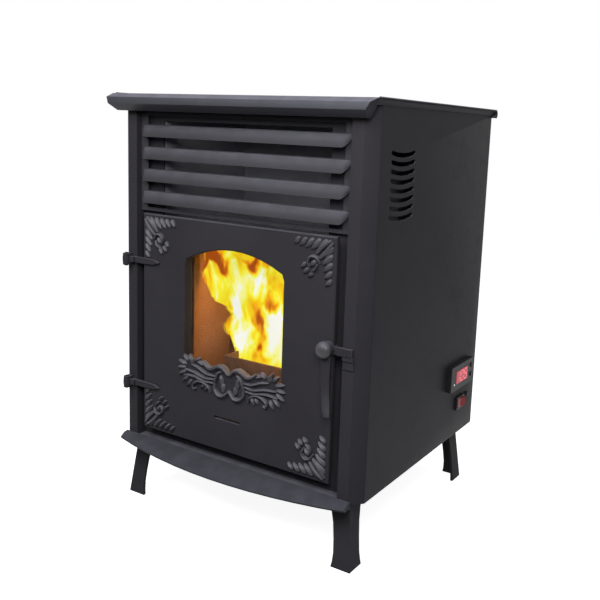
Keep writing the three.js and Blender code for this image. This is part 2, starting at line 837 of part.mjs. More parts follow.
// A corner casting: two wings of feathers along the edges, a double stem, a hooked scroll and three buds.
function cornerRelief(sideX, sideZ) {
  const cornerX = sideX * (doorHalf - 4);
  const cornerZ = sideZ > 0 ? doorTop - 4 : doorBottom + 4;
  const at = (a, b) => [cornerX - sideX * a, cornerZ - sideZ * b];
  const turn = (angle) => (sideX > 0 ? 180 - angle : angle) * (sideZ > 0 ? -1 : 1);
  const feathers = Array.from({ length: 5 }, (_, i) => {
    const reach = 21 + i * 11.5;
    const length = 27 - i * 3;
    const width = 10.5 - i * 0.7;
    const inset = 12 - i;
    return [leaf(...at(reach, inset), length, width, turn(47)), leaf(...at(inset, reach), length, width, turn(43))];
  }).flat();
  const stems = [
    ridge([at(2, 5), at(13, 20), at(26, 32)], 8),
    ridge([at(5, 2), at(20, 13), at(32, 26)], 8),
  ];
  const hook = ridge([at(24, 39), at(30, 30), at(40, 30), at(45, 38), at(41, 46)], 5.5, reliefHeight + 1);
  const heart = leaf(...at(36, 40), 14, 9, turn(45), reliefHeight + 0.5);
  const tail = ridge([at(28, 40), at(32, 48), at(40, 54)], 5);
  const buds = [
    [54, 45],
    [49, 53],
    [40, 58],
  ].map(([a, b]) => leaf(...at(a, b), 13, 7, turn(45), reliefHeight + 0.5));
  return join(...feathers, ...stems, hook, heart, tail, ...buds);
}

// The cartouche under the window, drawn for one half: a crested shell with stems and leaves beside it.
function cartoucheRelief() {
  const z0 = bottom;
  const halves = [-1, 1].flatMap((side) => {
    const to = (points) => points.map(([x, z]) => [side * x, z0 + z]);
    const turn = (angle) => (side > 0 ? angle : 180 - angle);
    const crest = [[-0.5, 160], [3, 161], [10, 168], [20, 171], [30, 167], [39, 163], [48, 166], [57, 173]];
    const rim = [[-0.5, 133], [5, 127], [13, 121], [23, 122], [30, 130], [31, 141]];
    const flank = [[31, 141], [28, 150], [24, 158], [16, 163]];
    const stems = [
      [[30, 152], [48, 153], [66, 160], [82, 163]],
      [[31, 146], [52, 145], [74, 150], [98, 152]],
      [[34, 139], [54, 139], [76, 143], [100, 141]],
    ];
    const scroll = [[40, 121], [44, 130], [54, 136], [67, 136], [78, 129], [77, 121], [71, 123]];
    const fingers = [
      [62, 169, 17, 7, 20],
      [70, 173, 14, 7, -30],
      [84, 172, 18, 9, 65],
      [95, 172, 16, 8, 40],
      [103, 163, 20, 8, 15],
      [105, 154, 18, 7, -5],
      [104, 144, 20, 7, -28],
      [97, 134, 20, 7, -42],
      [88, 128, 18, 7, -55],
      [50, 126, 15, 6, -60],
      [58, 128, 13, 6, -50],
      [13, 134, 19, 10, -100],
      [17, 148, 18, 10, 80],
    ];
    return [
      ridge(to(crest), 6.5, reliefHeight + 2),
      ridge(to(rim), 5.5, reliefHeight + 1),
      ridge(to(flank), 5),
      ...stems.map((stem) => ridge(to(stem), 6)),
      ridge(to(scroll), 5.5),
      ...fingers.map(([x, z, length, width, angle]) => leaf(side * x, z0 + z, length, width, turn(angle))),
    ];
  });
  return join(...halves);
}

// Relief stands on the face only: what would stick out behind it is cut off inside the plate.
function trimRelief(solid) {
  return cut(solid, block([-half, half], [reliefRoot, 40], [bottom, top]));
}

function doorPlate() {
  const edge = doorEdge;
  const shape = shapeOf([
    [-doorHalf + edge, doorBottom + edge],
    [doorHalf - edge, doorBottom + edge],
    [doorHalf - edge, doorTop - edge],
    [-doorHalf + edge, doorTop - edge],
  ]);
  shape.holes.push(shapeOf(windowPoints(edge)));
  const geometry = new THREE.ExtrudeGeometry(shape, {
    depth: doorThickness - 2 * edge,
    bevelEnabled: true,
    bevelThickness: edge,
    bevelSize: edge,
    bevelSegments: 1,
  });
  const place = new THREE.Matrix4().makeBasis(...bases.y).setPosition(0, doorThickness - edge, 0);
  return toSolid(geometry.applyMatrix4(place));
}

function door() {
  const rim = bar(windowPoints(windowRimWall), "y", doorThickness - 1, doorThickness + windowRimDepth, [
    windowPoints(0),
  ]);
  const slotZ = bottom + doorSlotHeightUp;
  const slot = block(
    [-doorSlotLength / 2 - 5, doorSlotLength / 2 - 5],
    [-1, doorThickness + 1],
    [slotZ - doorSlotHeight / 2, slotZ + doorSlotHeight / 2],
  );
  const bore = rod("y", spindleRadius + runningGap, -1, doorThickness + 1, handleX, bottom + handleHeight, 20);
  const corners = [-1, 1].flatMap((x) => [-1, 1].map((z) => cornerRelief(x, z)));
  const relief = trimRelief(join(cartoucheRelief(), ...corners));
  const apron = [
    [-106, 148],
    [106, 148],
    [106, 164],
    [84, 169],
    [60, 166],
    [40, 162],
    [20, 167],
    [0, 158],
    [-20, 167],
    [-40, 162],
    [-60, 166],
    [-84, 169],
    [-106, 164],
  ].map(([x, z]) => [x, bottom + z]);
  const backing = bar(apron, "y", -0.8, reliefRoot);
  return cut(join(doorPlate(), rim, backing, relief), slot, bore);
}

function doorGasket() {
  const outer = doorHalf - doorGasketInset;
  const lower = doorBottom + doorGasketInset - 10;
  const upper = doorTop - doorGasketInset + 10;
  const w = doorGasketWidth;
  const y = [doorThickness + seat, frontPlateY - seat];
  return cut(
    block([-outer, outer], y, [lower, upper]),
    block([-outer + w, outer - w], [y[0] - 1, y[1] + 1], [lower + w, upper - w]),
  );
}

function glassGasket() {
  const y = [glassY, glassY + glassGasketThickness];
  return bar(windowPoints(windowRimWall - 0.5), "y", ...y, [windowPoints(1.5)]);
}

const paneY = glassY + glassGasketThickness + seat;
const paneHalf = windowHalf + glassOverlap;
const paneZ = [bottom + windowSill - glassOverlap, bottom + windowSpring + windowRise + glassOverlap];

// A folded strip down one side of the pane, screwed to the back of the door.
function glassRetainer(side) {
  const clipY = paneY + glassThickness + seat;
  const path = [
    [side * (paneHalf - 8), clipY],
    [side * (paneHalf + 4), clipY],
    [side * (paneHalf + 4), doorThickness + seat],
    [side * (paneHalf + 16), doorThickness + seat],
  ];
  return sheet(path, side * retainerSheet, "z", paneZ[0] + retainerInset, paneZ[1] - retainerInset);
}

// ---------------------------------------------------------------- hinges

// Each strap's eye turns on a pin that is fixed in the two lugs of a bracket on the post.

function hingeStrap(z) {
  const eye = rod("z", hingeEyeRadius, z - hingeEyeHeight / 2, z + hingeEyeHeight / 2, hingeAxisX, hingeAxisY, 16);
  const neckStart = hingeAxisX + 3.8;
  const strapStart = -doorHalf - 14;
  const end = -doorHalf + strapLength - 10;
  const h = hingeEyeHeight / 2;
  const outline = [
    [neckStart, z - h],
    [strapStart + 20, z - h],
    [end - 12, z - h * 0.8],
    [end, z],
    [end - 12, z + h * 0.8],
    [strapStart + 20, z + h],
    [neckStart, z + h],
  ];
  const strap = bar(outline, "y", -seat - strapThickness, -2 * seat);
  const root = block([neckStart, hingeAxisX + 16], [-seat - 8.7, -seat], [z - h, z + h]);
  const bore = rod("z", hingePinRadius + runningGap, z - 20, z + 20, hingeAxisX, hingeAxisY, 16);
  return cut(join(eye, root, strap), bore);
}

function hingeBracket(z) {
  const start = hingeEyeHeight / 2 + seat;
  const ends = [
    [z + start, z + start + hingeLugHeight],
    [z - start - hingeLugHeight, z - start],
  ];
  const plateX = [-(half - cornerChamfer), hingeAxisX + 3];
  const plate = block(plateX, [-seat - 2.5, -seat], [ends[1][0], ends[0][1]]);
  const lugs = ends.map((span) =>
    join(
      rod("z", hingeEyeRadius - 0.5, ...span, hingeAxisX, hingeAxisY, 16),
      block([hingeAxisX - hingeEyeRadius + 1.5, hingeAxisX + hingeEyeRadius - 1], [hingeAxisY, -seat], span),
    ),
  );
  const reach = hingeEyeHeight / 2 + hingeLugHeight + 2;
  const pin = rod("z", hingePinRadius, z - reach, z + reach, hingeAxisX, hingeAxisY, 16);
  return join(plate, ...lugs, pin);
}

// ---------------------------------------------------------------- handle

const handleZ = bottom + handleHeight;
const armY = [-seat * 2 - armThickness, -seat * 2];
const leverY = [armY[0] - seat - leverThickness, armY[0] - seat];
const bossY = [leverY[0] - seat - bossHeight, leverY[0] - seat];

function spindleBore() {
  return rod("y", spindleRadius + seat, armY[1] + 1, leverY[0] - 1, handleX, handleZ, 20);
}

// The handle's spindle, with its domed head in front and a washer-like foot behind the door.
function handleSpindle() {
  const steps = 6;
  const dome = Array.from({ length: steps + 1 }, (_, i) => {
    const angle = (i / steps) * (Math.PI / 2);
    return new THREE.Vector2(bossRadius * Math.cos(angle), bossRim + (bossHeight - bossRim) * Math.sin(angle));
  });
  dome[steps].x = 0;
  const geometry = new THREE.LatheGeometry([new THREE.Vector2(0, 0), new THREE.Vector2(bossRadius, 0), ...dome], 24);
  geometry.rotateX(Math.PI).translate(handleX, bossY[1], handleZ);
  const footY = [doorThickness + seat, doorThickness + seat + spindleFoot];
  const shaft = rod("y", spindleRadius, bossY[1] - 1, footY[1], handleX, handleZ, 20);
  return join(toSolid(geometry), shaft, rod("y", spindleRadius + 2.5, ...footY, handleX, handleZ, 20));
}

function latchArm() {
  const arm = block([handleX, handleX + armLength], armY, [handleZ - armWidth / 2, handleZ + armWidth / 2]);
  const eye = rod("y", bossRadius - 1, ...armY, handleX, handleZ, 20);
  const rib = (x) =>
    rod("z", 2.2, handleZ - armWidth / 2, handleZ + armWidth / 2, x, armY[0] + 0.6, 8);
  const ribs = [armLength - 17, armLength - 11, armLength - 5].map((reach) => rib(handleX + reach));
  return cut(join(arm, eye, ...ribs), spindleBore());
}

function handleLever() {
  const eye = rod("y", bossRadius, ...leverY, handleX, handleZ, 20);
  const stations = [0.05, 0.25, 0.45, 0.6, 0.72, 0.84, 0.94, 1];
  const rings = stations.map((t) => {
    const bend = Math.max(0, (t - 0.45) / 0.55) ** 2;
    const x = handleX + 2 + 11 * bend;
    const y = (leverY[0] + leverY[1]) / 2 - 11 * bend;
    const w = (leverWidth / 2) * (t > 0.97 ? 0.55 : 1 - 0.25 * t);
    const d = leverThickness / 2 - 0.05;
    const z = handleZ - leverLength * t;
    return [
      [x - w, y - d * 0.5, z],
      [x - w + 2, y - d, z],
      [x + w - 2, y - d, z],
      [x + w, y - d * 0.5, z],
      [x + w, y + d * 0.5, z],
      [x + w - 2, y + d, z],
      [x - w + 2, y + d, z],
      [x - w, y + d * 0.5, z],
    ];
  });
  return cut(join(eye, loft(rings)), spindleBore());
}

function latchKeeper() {
  const armLow = handleZ - armWidth / 2 - latchGap;
  const x = [postInner + 2, handleX + armLength + 1];
  const shelf = block(x, [armY[0] + 0.6, -seat], [armLow - 6, armLow]);
  const plate = block(x, [-seat - 2, -seat], [armLow - 20, armLow]);
  return join(shelf, plate);
}

// ---------------------------------------------------------------- feed

function augerAssembly() {
  const group = new THREE.Group();
  group.position.set(0, augerLowY, bottom + augerLowHeight);
  group.rotation.x = (augerTilt * Math.PI) / 180;
  stove.add(group);
  const flightRadius = augerTubeRadius - augerTubeWall - augerFlightGap;
  const endThickness = 3;
  const shaftInGearbox = 18;
  const shaftShort = 12;
  const endPlate = rod("z", augerTubeRadius, -endThickness, 0.5, 0, 0, 24);
  const shaftHole = rod("z", augerShaftRadius + runningGap, -5, 5, 0, 0, 16);
  const slope = (augerTilt * Math.PI) / 180;
  const mouthFrom = (augerLowY - outletY) / Math.sin(slope) - outletHalf;
  const inlet = block(
    [-outletHalf + hopperSheet + 1, outletHalf - hopperSheet - 1],
    [0, augerTubeRadius + 5],
    [mouthFrom, mouthFrom + 2 * outletHalf - 10],
  );
  const tube = cut(join(pipe("z", augerTubeRadius, augerTubeWall, 0, augerLength, 0, 0), endPlate), shaftHole, inlet);
  piece("auger_tube", tube, galvanised, group);

  const screwStart = 6;
  const screwLength = augerLength - 2 * shaftShort;
  const turns = screwLength / augerPitch;
  const steps = Math.round(turns * 12);
  const rings = Array.from({ length: steps + 1 }, (_, i) => {
    const angle = (2 * Math.PI * turns * i) / steps;
    const z = screwStart + (screwLength * i) / steps;
    const point = (radius, rise) => [radius * Math.cos(angle), radius * Math.sin(angle), z + rise];
    const inner = augerShaftRadius - 1.5;
    return [point(inner, 0), point(flightRadius, 0), point(flightRadius, augerFlight), point(inner, augerFlight)];
  });
  const shaft = rod("z", augerShaftRadius, -shaftInGearbox, augerLength - shaftShort, 0, 0, 16);
  piece("auger_screw", join(shaft, loft(rings)), steel, group);

  const [boxHalf, boxRise, boxDepth] = gearboxSize;
  const gearbox = cut(
    block([-boxHalf, boxHalf], [-boxRise, boxRise], [-boxDepth - endThickness, -endThickness - seat]),
    rod("z", augerShaftRadius + seat, -shaftInGearbox - seat, 0, 0, 0, 16),
  );
  const motor = rod("x", driveMotorRadius, boxHalf - 1, boxHalf + driveMotorLength, -2, -driveMotorRadius, 18);
  piece("auger_gearmotor", join(gearbox, motor), motorBlack, group);
}

const spoutZ = bottom + augerLowHeight + augerLength * Math.cos((augerTilt * Math.PI) / 180);
const linerFaceY = fireboxBack - fireboxWall - seat - linerThickness;

// A U-shaped slide from the end of the feed tube down over the burn pot.
function pelletChute() {
  const startZ = spoutZ - augerTubeRadius - 16;
  const y0 = linerFaceY - seat;
  const widths = augerTubeRadius + 4;
  const floor = [
    [y0, startZ],
    [y0 - chuteRun, startZ - chuteDrop],
  ];
  const base = sheet(floor, -chuteSheet, "x", -widths, widths);
  const cheek = [
    [y0, startZ],
    [y0 - chuteRun, startZ - chuteDrop],
    [y0 - chuteRun, startZ - chuteDrop + 14],
    [y0, startZ + 22],
  ];
  const cheeks = [-1, 1].map((side) => bar(cheek, "x", side * (widths - chuteSheet), side * widths));
  const flange = block([-widths, widths], [y0 - chuteSheet, y0], [startZ - 18, startZ]);
  return cut(join(base, flange, ...cheeks), augerBore(augerTubeRadius + seat));
}

// ---------------------------------------------------------------- firebox

const ductInletX = [-84, -32];
const ductInletZ = [bottom + 52, bottom + 84];
const igniterX = 45;
const igniterZ = bottom + potTop - 50;

function firebox() {
  const outer = block([-fireboxHalf, fireboxHalf], [fireboxY, fireboxBack], fireboxZ);
  const w = fireboxWall;
  const inner = block([-fireboxHalf + w, fireboxHalf - w], [fireboxY - 1, fireboxBack - w], [
    fireboxZ[0] + w,
    fireboxZ[1] - w,
  ]);
  const wall = [fireboxBack - w - 1, fireboxBack + 1];
  const ledges = [-1, 1].map((side) =>
    block(
      [side * (fireboxHalf - w - 12), side * (fireboxHalf - 1)],
      [fireboxY + 8, fireboxBack - 15],
      [bottom + deckHeight - seat - 3, bottom + deckHeight - seat],
    ),
  );
  const shell = cut(
    outer,
    inner,
    augerBore(augerTubeRadius + seat),
    block(ductInletX, wall, ductInletZ),
    rod("y", airPipeRadius - pipeWall, ...wall, 0, bottom + airPipeHeight, 20),
    rod("y", igniterRadius + seat, ...wall, igniterX, igniterZ, 12),
  );
  return join(shell, ...ledges);
}

function burnPotDeck() {
  const inner = fireboxHalf - fireboxWall - seat;
  const z = [bottom + deckHeight, bottom + deckHeight + deckThickness];
  const plate = block([-inner, inner], [fireboxY + 6, fireboxBack - fireboxWall - seat], z);
  const gap = seat + 1;
  const reach = potShoulder - gap;
  const holeX = [-potHalf + reach, potHalf - reach];
  const hole = block(holeX, [potFront + reach, potFront + potDepth - reach], [z[0] - 1, z[1] + 1]);
  return cut(plate, hole);
}

const potHoleRow = (potDepth - 2 * potWall) / 4.1;

// The cast fire pot: a tapered cup that hangs by its shoulder in the deck, with a perforated floor.
function burnPot() {
  const potZ = bottom + potTop;
  const shoulder = bottom + deckHeight + deckThickness + seat;
  const ring = (inset, z) => [
    [-potHalf + inset, potFront + inset, z],
    [potHalf - inset, potFront + inset, z],
    [potHalf - inset, potFront + potDepth - inset, z],
    [-potHalf + inset, potFront + potDepth - inset, z],
  ];
  const cup = join(
    loft([ring(potFlare, shoulder), ring(0, potZ)]),
    loft([ring(potShoulder, bottom + potBottom), ring(potShoulder, shoulder + 1)]),
  );
  const cavity = loft([
    ring(potShoulder + potWall, bottom + potBottom + potWall),
    ring(potFlare + potWall, shoulder),
    ring(potWall, potZ + 1),
  ]);
  const holes = [-1, 0, 1].flatMap((column) =>
    [-1, 0, 1].map((row) =>
      rod(
        "z",
        potHoleRadius,
        bottom + potBottom - 1,
        bottom + potBottom + potWall + 1,
        column * potHoleColumn,
        potFront + potDepth / 2 + row * potHoleRow,
        8,
      ),
    ),
  );
  return cut(cup, cavity, ...holes);
}

function ashPan() {
  const x = fireboxHalf - fireboxWall - 14;
  const y = [fireboxY + 12, fireboxBack - fireboxWall - 24];
  const z = [fireboxZ[0] + fireboxWall + seat, fireboxZ[0] + fireboxWall + seat + ashPanHeight];
  const w = ashPanWall;
  const grip = block([-32, 32], [y[0] - 8, y[0] + 1], [z[1] - 4, z[1] - 2]);
  return join(
    cut(block([-x, x], y, z), block([-x + w, x - w], [y[0] + w, y[1] - w], [z[0] + w, z[1] + 1])),
    grip,
  );
}

function sideLiner(side) {
  const outer = fireboxHalf - fireboxWall - seat;
  const z = [bottom + deckHeight + deckThickness + seat, fireboxZ[1] - fireboxWall - seat];
  return block([side * (outer - linerThickness), side * outer], [fireboxY + 7, linerFaceY - seat - 1], z);
}

function rearLiner() {
  const outer = fireboxHalf - fireboxWall - seat;
  const z = [bottom + potTop + 4, fireboxZ[1] - fireboxWall - seat];
  const slab = block([-outer, outer], [linerFaceY, linerFaceY + linerThickness], z);
  return cut(slab, augerBore(augerTubeRadius + seat));
}

function igniter() {
  const start = potFront + potDepth + seat;
  return join(
    rod("y", igniterRadius, start, fireboxBack + 42, igniterX, igniterZ, 12),
    rod("y", igniterCollar, fireboxBack + seat, fireboxBack + 4.3, igniterX, igniterZ, 16),
  );
}

// ---------------------------------------------------------------- air and smoke

const exhaustX = [-150, -150 + exhaustWidth];
const exhaustZ = bottom + exhaustHeight;

function exhaustDuct() {
  const x = [exhaustX[1] + seat, ductInletX[1] + 4];
  const y = [fireboxBack + seat, exhaustY + 34];
  const z = [bottom + 40, exhaustZ + 34];
  const w = pipeWall;
  const shell = cut(
    block(x, y, z),
    block([x[0] + w, x[1] - w], [y[0] + w, y[1] - w], [z[0] + w, z[1] - w]),
    block(ductInletX, [y[0] - 1, y[0] + w + 1], ductInletZ),
    rod("x", exhaustEye, x[0] - 1, x[0] + w + 1, exhaustY, exhaustZ, 20),
  );
  return shell;
}

function exhaustHousing() {
  const outletTop = exhaustZ + exhaustRadius;
  const outletBack = exhaustY + exhaustRadius + 4;
  const shell = (t) =>
    join(
      rod("x", exhaustRadius - t, exhaustX[0] + t, exhaustX[1] - t, exhaustY, exhaustZ, 28),
      block([exhaustX[0] + t, exhaustX[1] - t], [exhaustY, outletBack + (t > 0 ? 1 : 0)], [
        outletTop - 74 + t,
        outletTop - t,
      ]),
    );
  const feet = block([exhaustX[0] + 6, exhaustX[1] - 6], [exhaustY - 22, exhaustY + 22], [
    bottom + basePlateThickness + seat,
    exhaustZ - exhaustRadius + 6,
  ]);
  const flange = cut(
    block([flueX - flueRadius - 6, flueX + flueRadius + 6], [outletBack - 3, outletBack], [
      bottom + flueHeight - flueRadius - 5,
      bottom + flueHeight + flueRadius + 5,
    ]),
    block([exhaustX[0] + 1, exhaustX[1] - 1], [outletBack - 5, outletBack + 1], [outletTop - 73, outletTop - 1]),
  );
  return join(
    cut(
      join(shell(0), feet),
      shell(blowerWall),
      rod("x", exhaustEye, exhaustX[1] - 3, exhaustX[1] + 1, exhaustY, exhaustZ, 20),
      rod("x", motorShaftRadius + 2, exhaustX[0] - 1, exhaustX[0] + 3, exhaustY, exhaustZ, 16),
    ),
    flange,
  );
}

// A blower wheel on the x axis: back disc, radial blades and, on the fan, a shroud ring.
function bladeWheel(x0, width, radius, y, z, blades, shaftTo) {
  const disc = rod("x", radius, x0, x0 + 2, y, z, 24);
  const hub = rod("x", 10, x0, x0 + width * 0.6, y, z, 16);
  const shaft = rod("x", motorShaftRadius, Math.min(x0 + 1, shaftTo), Math.max(x0 + 1, shaftTo), y, z, 12);
  const vanes = Array.from({ length: blades }, (_, i) => {
    const geometry = new THREE.BoxGeometry(width - 1, radius * 0.52, 2);
    geometry.translate(x0 + 1 + (width - 1) / 2, radius * 0.7, 0);
    geometry.rotateX((2 * Math.PI * i) / blades).translate(0, y, z);
    return toSolid(geometry);
  });
  return join(disc, hub, shaft, ...vanes);
}

const motorBoreGap = 0.5;

function blowerMotor(x0, x1, shaftEnd, y, z) {
  const body = rod("x", motorRadius, x0, x1, y, z, 20);
  const reach = shaftEnd < x0 ? [shaftEnd, x0] : [Math.min(x0, x1) - 1, shaftEnd];
  return cut(body, rod("x", motorShaftRadius + motorBoreGap, ...reach, y, z, 12));
}

const fanSpan = [fanX - fanWidth / 2, fanX + fanWidth / 2];
const fanZ = bottom + fanHeight;
const fanOutletTop = fanZ + fanRadius + 12;
const ductY = [fireboxBack + 3, fireboxBack + 3 + ductDepth];
const ductX = [fanSpan[0] - 8, fanSpan[1] + 8];
const plenumZ = [fireboxZ[1] + seat, bottom + plenumTop];

function fanHousing() {
  const outletY = [ductY[0] + 3, ductY[1] - 3];
  const shell = (t) =>
    join(
      rod("x", fanRadius - t, fanSpan[0] + t, fanSpan[1] - t, fanY, fanZ, 28),
      block([fanSpan[0] + t, fanSpan[1] - t], [outletY[0] + t, outletY[1] - t], [fanZ, fanOutletTop + (t > 0 ? 1 : 0)]),
    );
  const feet = block([fanSpan[0] + 6, fanSpan[1] - 6], [fanY - 24, fanY + 24], [
    bottom + basePlateThickness + seat,
    fanZ - fanRadius + 6,
  ]);
  return cut(
    join(shell(0), feet),
    shell(blowerWall),
    rod("x", fanEye, fanSpan[0] - 1, fanSpan[0] + 3, fanY, fanZ, 24),
    rod("x", motorShaftRadius + 2, fanSpan[1] - 3, fanSpan[1] + 1, fanY, fanZ, 16),
  );
}

// The duct up the back of the firebox and the box that opens behind the louvre, folded as one.
function convectionDuct() {
  const w = casingSheet;
  const riser = [fanOutletTop + seat, plenumZ[0] + 1];
  const plenumY = [frontPlateY + frontPlateThickness + seat, ductY[1]];
  const box = block([-fireboxHalf, fireboxHalf], plenumY, plenumZ);
  const boxHollow = block(
    [-fireboxHalf + w, fireboxHalf - w],
    [plenumY[0] - 1, plenumY[1] - w],
    [plenumZ[0] + w, plenumZ[1] - w],
  );
  const riserHollow = block([ductX[0] + w, ductX[1] - w], [ductY[0] + w, ductY[1] - w], [riser[0] - 1, plenumZ[0] + w + 1]);
  return cut(join(block(ductX, ductY, riser), box), boxHollow, riserHollow);
}

// ---------------------------------------------------------------- controls

const controlZ = bottom + controlUp;
const displayY = controlY - 3;
const buttonY = controlY + controlLength / 2 - 11;
const buttonZs = { plus_button: controlZ + 10, minus_button: controlZ - 8 };
const panelFace = half + controlProud;

function controlBox() {
  const corner = 3;
  const bezel = [
    [controlY - controlLength / 2 + corner, controlZ - controlHeight / 2],
    [controlY + controlLength / 2 - corner, controlZ - controlHeight / 2],
    [controlY + controlLength / 2, controlZ - controlHeight / 2 + corner],
    [controlY + controlLength / 2, controlZ + controlHeight / 2 - corner],
    [controlY + controlLength / 2 - corner, controlZ + controlHeight / 2],
    [controlY - controlLength / 2 + corner, controlZ + controlHeight / 2],
    [controlY - controlLength / 2, controlZ + controlHeight / 2 - corner],
    [controlY - controlLength / 2, controlZ - controlHeight / 2 + corner],
  ];
  const body = block(
    [half - controlBehind, half + 1],
    [controlY - controlBodyLength / 2, controlY + controlBodyLength / 2],
    [controlZ - controlBodyHeight / 2, controlZ + controlBodyHeight / 2],
  );
  const pocket = block(
    [panelFace - displayPocket, panelFace + 1],
    [displayY - displayLength / 2 - seat, displayY + displayLength / 2 + seat],
    [controlZ - displayHeight / 2 - seat, controlZ + displayHeight / 2 + seat],
  );
  const buttonBores = Object.values(buttonZs).map((z) =>
    rod("x", buttonRadius + runningGap, panelFace - buttonWell, panelFace + 1, buttonY, z, 16),
  );
  return cut(join(bar(bezel, "x", half + seat, panelFace), body), pocket, ...buttonBores);
}

function displayWindow() {
  return block(
    [panelFace - displayPocket + seat, panelFace + displayProud],
    [displayY - displayLength / 2, displayY + displayLength / 2],
    [controlZ - displayHeight / 2, controlZ + displayHeight / 2],
  );
}

function button(z) {
  const inner = panelFace - buttonWell + buttonTravel + seat;
  return rod("x", buttonRadius, inner, panelFace + buttonProud, buttonY, z, 16, buttonRadius - 0.6);
}

const rockerZ = bottom + rockerUp;
const rockerFace = half + rockerProud;
const rockerPaddleHalf = [rockerLength / 2 - 4.5, rockerHeight / 2 - 4];
const rockerPivotX = rockerFace - 3;

function rockerFrame() {
  const bezel = block(
    [half + seat, rockerFace],
    [rockerY - rockerLength / 2, rockerY + rockerLength / 2],
    [rockerZ - rockerHeight / 2, rockerZ + rockerHeight / 2],
  );
  const body = block(
    [half - rockerBehind, half + 1],
    [rockerY - rockerBodyLength / 2, rockerY + rockerBodyLength / 2],
    [rockerZ - rockerBodyHeight / 2, rockerZ + rockerBodyHeight / 2],
  );
  const pocket = block(
    [rockerPivotX - 9, rockerFace + 1],
    [rockerY - rockerPaddleHalf[0] - 1.2, rockerY + rockerPaddleHalf[0] + 1.2],
    [rockerZ - rockerPaddleHalf[1] - 0.6, rockerZ + rockerPaddleHalf[1] + 0.6],
  );
  const axlePocket = rod(
    "z",
    rockerAxleRadius + runningGap,
    rockerZ - rockerPaddleHalf[1] - 1.6,
    rockerZ + rockerPaddleHalf[1] + 1.6,
    rockerPivotX - 2,
    rockerY,
    12,
  );
  return cut(join(bezel, body), pocket, axlePocket);
}

// The red paddle: a shallow V across its length, on a small axle. It rests with its front half pressed in.
function powerRocker() {
  const [length, height] = rockerPaddleHalf;
  const tilt = (-rockerTilt * Math.PI) / 180;
  const outline = [
    [rockerFace + 0.6, rockerY],
    [rockerFace + 2.6, rockerY + length],
    [rockerFace - 2, rockerY + length],
    [rockerPivotX - 4, rockerY + 5],
    [rockerPivotX - 4, rockerY - 5],
    [rockerFace - 2, rockerY - length],
    [rockerFace + 2.6, rockerY - length],
  ];
  const turned = outline.map(([x, y]) => {
    const arm = new THREE.Vector2(x, y).rotateAround(new THREE.Vector2(rockerPivotX - 2, rockerY), tilt);
    return [arm.x, arm.y];
  });
  return join(
    bar(turned, "z", rockerZ - height, rockerZ + height),
    rod("z", rockerAxleRadius, rockerZ - height - 1.2, rockerZ + height + 1.2, rockerPivotX - 2, rockerY, 12),
  );
}

function fuseCap() {
  return join(
    rod("x", fuseRadius, half + seat, half + fuseProud, fuseY, fuseZ, 16, fuseRadius - 1),
    rod("x", fuseRadius - 1, half - fuseBehind, half + 1, fuseY, fuseZ, 16),
  );
}

function powerInlet() {
  const y = backPanelY + casingSheet;
  const [w, h] = powerInletSize;
  const flange = block(
    [powerInletX - w / 2 - 5, powerInletX + w / 2 + 5],
    [y + seat, y + 3],
    [powerInletZ - h / 2 - 3, powerInletZ + h / 2 + 3],
  );
  const body = block([powerInletX - w / 2, powerInletX + w / 2], [y - 24, y + 1], [
    powerInletZ - h / 2,
    powerInletZ + h / 2,
  ]);
  const socket = block([powerInletX - w / 2 + 2, powerInletX + w / 2 - 2], [y - 16, y + 4], [
    powerInletZ - h / 2 + 2,
    powerInletZ + h / 2 - 2,
  ]);
  const pins = [-7, 0, 7].map((x) =>
    block([powerInletX + x - 1, powerInletX + x + 1], [y - 17, y - 3], [powerInletZ - 3, powerInletZ + 3]),
  );
  return join(cut(join(flange, body), socket), ...pins);
}

// ---------------------------------------------------------------- assembly

function buildCasing() {
  piece("base_plate", basePlate(), paint);
  piece("left_side_panel", sidePanel(-1), paint);
  piece("right_side_panel", cut(sidePanel(1), ...controlOpenings()), paint);
  piece("front_plate", frontPlate(), paint);
  piece("back_panel", backPanel(), galvanised);
  piece("top_plate", topPlate(), paint);
  piece("louvre_panel", louvrePanel(), paint);
  piece("ash_ledge", ashLedge(), paint);
  piece("leg_front_left", leg(-1, -1), iron);
  piece("leg_front_right", leg(1, -1), iron);
  piece("leg_back_left", leg(-1, 1), iron);
  piece("leg_back_right", leg(1, 1), iron);
}

function buildHopper() {
  piece("hopper_lid", hopperLid(), paint);
  const pinHalf = lidKnuckleX[1] + lidKnuckleWidth + 2;
  piece("lid_hinge_pin", rod("x", lidPinRadius, -pinHalf, pinHalf, lidPinY, lidPinZ, 16), steel);
  piece("hopper", hopper(), galvanised);
}

function buildDoor() {
  piece("door", door(), iron);
  piece("door_gasket", doorGasket(), rope);
  piece("glass_gasket", glassGasket(), rope);
  piece("door_glass", block([-paneHalf, paneHalf], [paneY, paneY + glassThickness], paneZ), glass);
  piece("left_glass_retainer", glassRetainer(-1), steel);
  piece("right_glass_retainer", glassRetainer(1), steel);
  const hingeHeights = { upper: bottom + hingeUpperHeight, lower: bottom + hingeLowerHeight };
  Object.entries(hingeHeights).forEach(([level, z]) => {
    piece(`${level}_hinge_strap`, hingeStrap(z), iron);
    piece(`${level}_hinge_bracket`, hingeBracket(z), iron);
  });
}

function buildHandle() {
  piece("handle_spindle", handleSpindle(), iron);
  piece("latch_arm", latchArm(), iron);
  piece("handle_lever", handleLever(), iron);
  piece("latch_keeper", latchKeeper(), iron);
}

function buildFirebox() {
  piece("firebox", firebox(), firedSteel);
  piece("burn_pot_deck", burnPotDeck(), firedSteel);
  piece("burn_pot", burnPot(), iron);
  piece("ash_pan", ashPan(), galvanised);
  piece("left_liner", sideLiner(-1), brick);
  piece("right_liner", sideLiner(1), brick);
  piece("rear_liner", rearLiner(), brick);
  piece("igniter", igniter(), steel);
  piece("pellet_chute", pelletChute(), firedSteel);
}

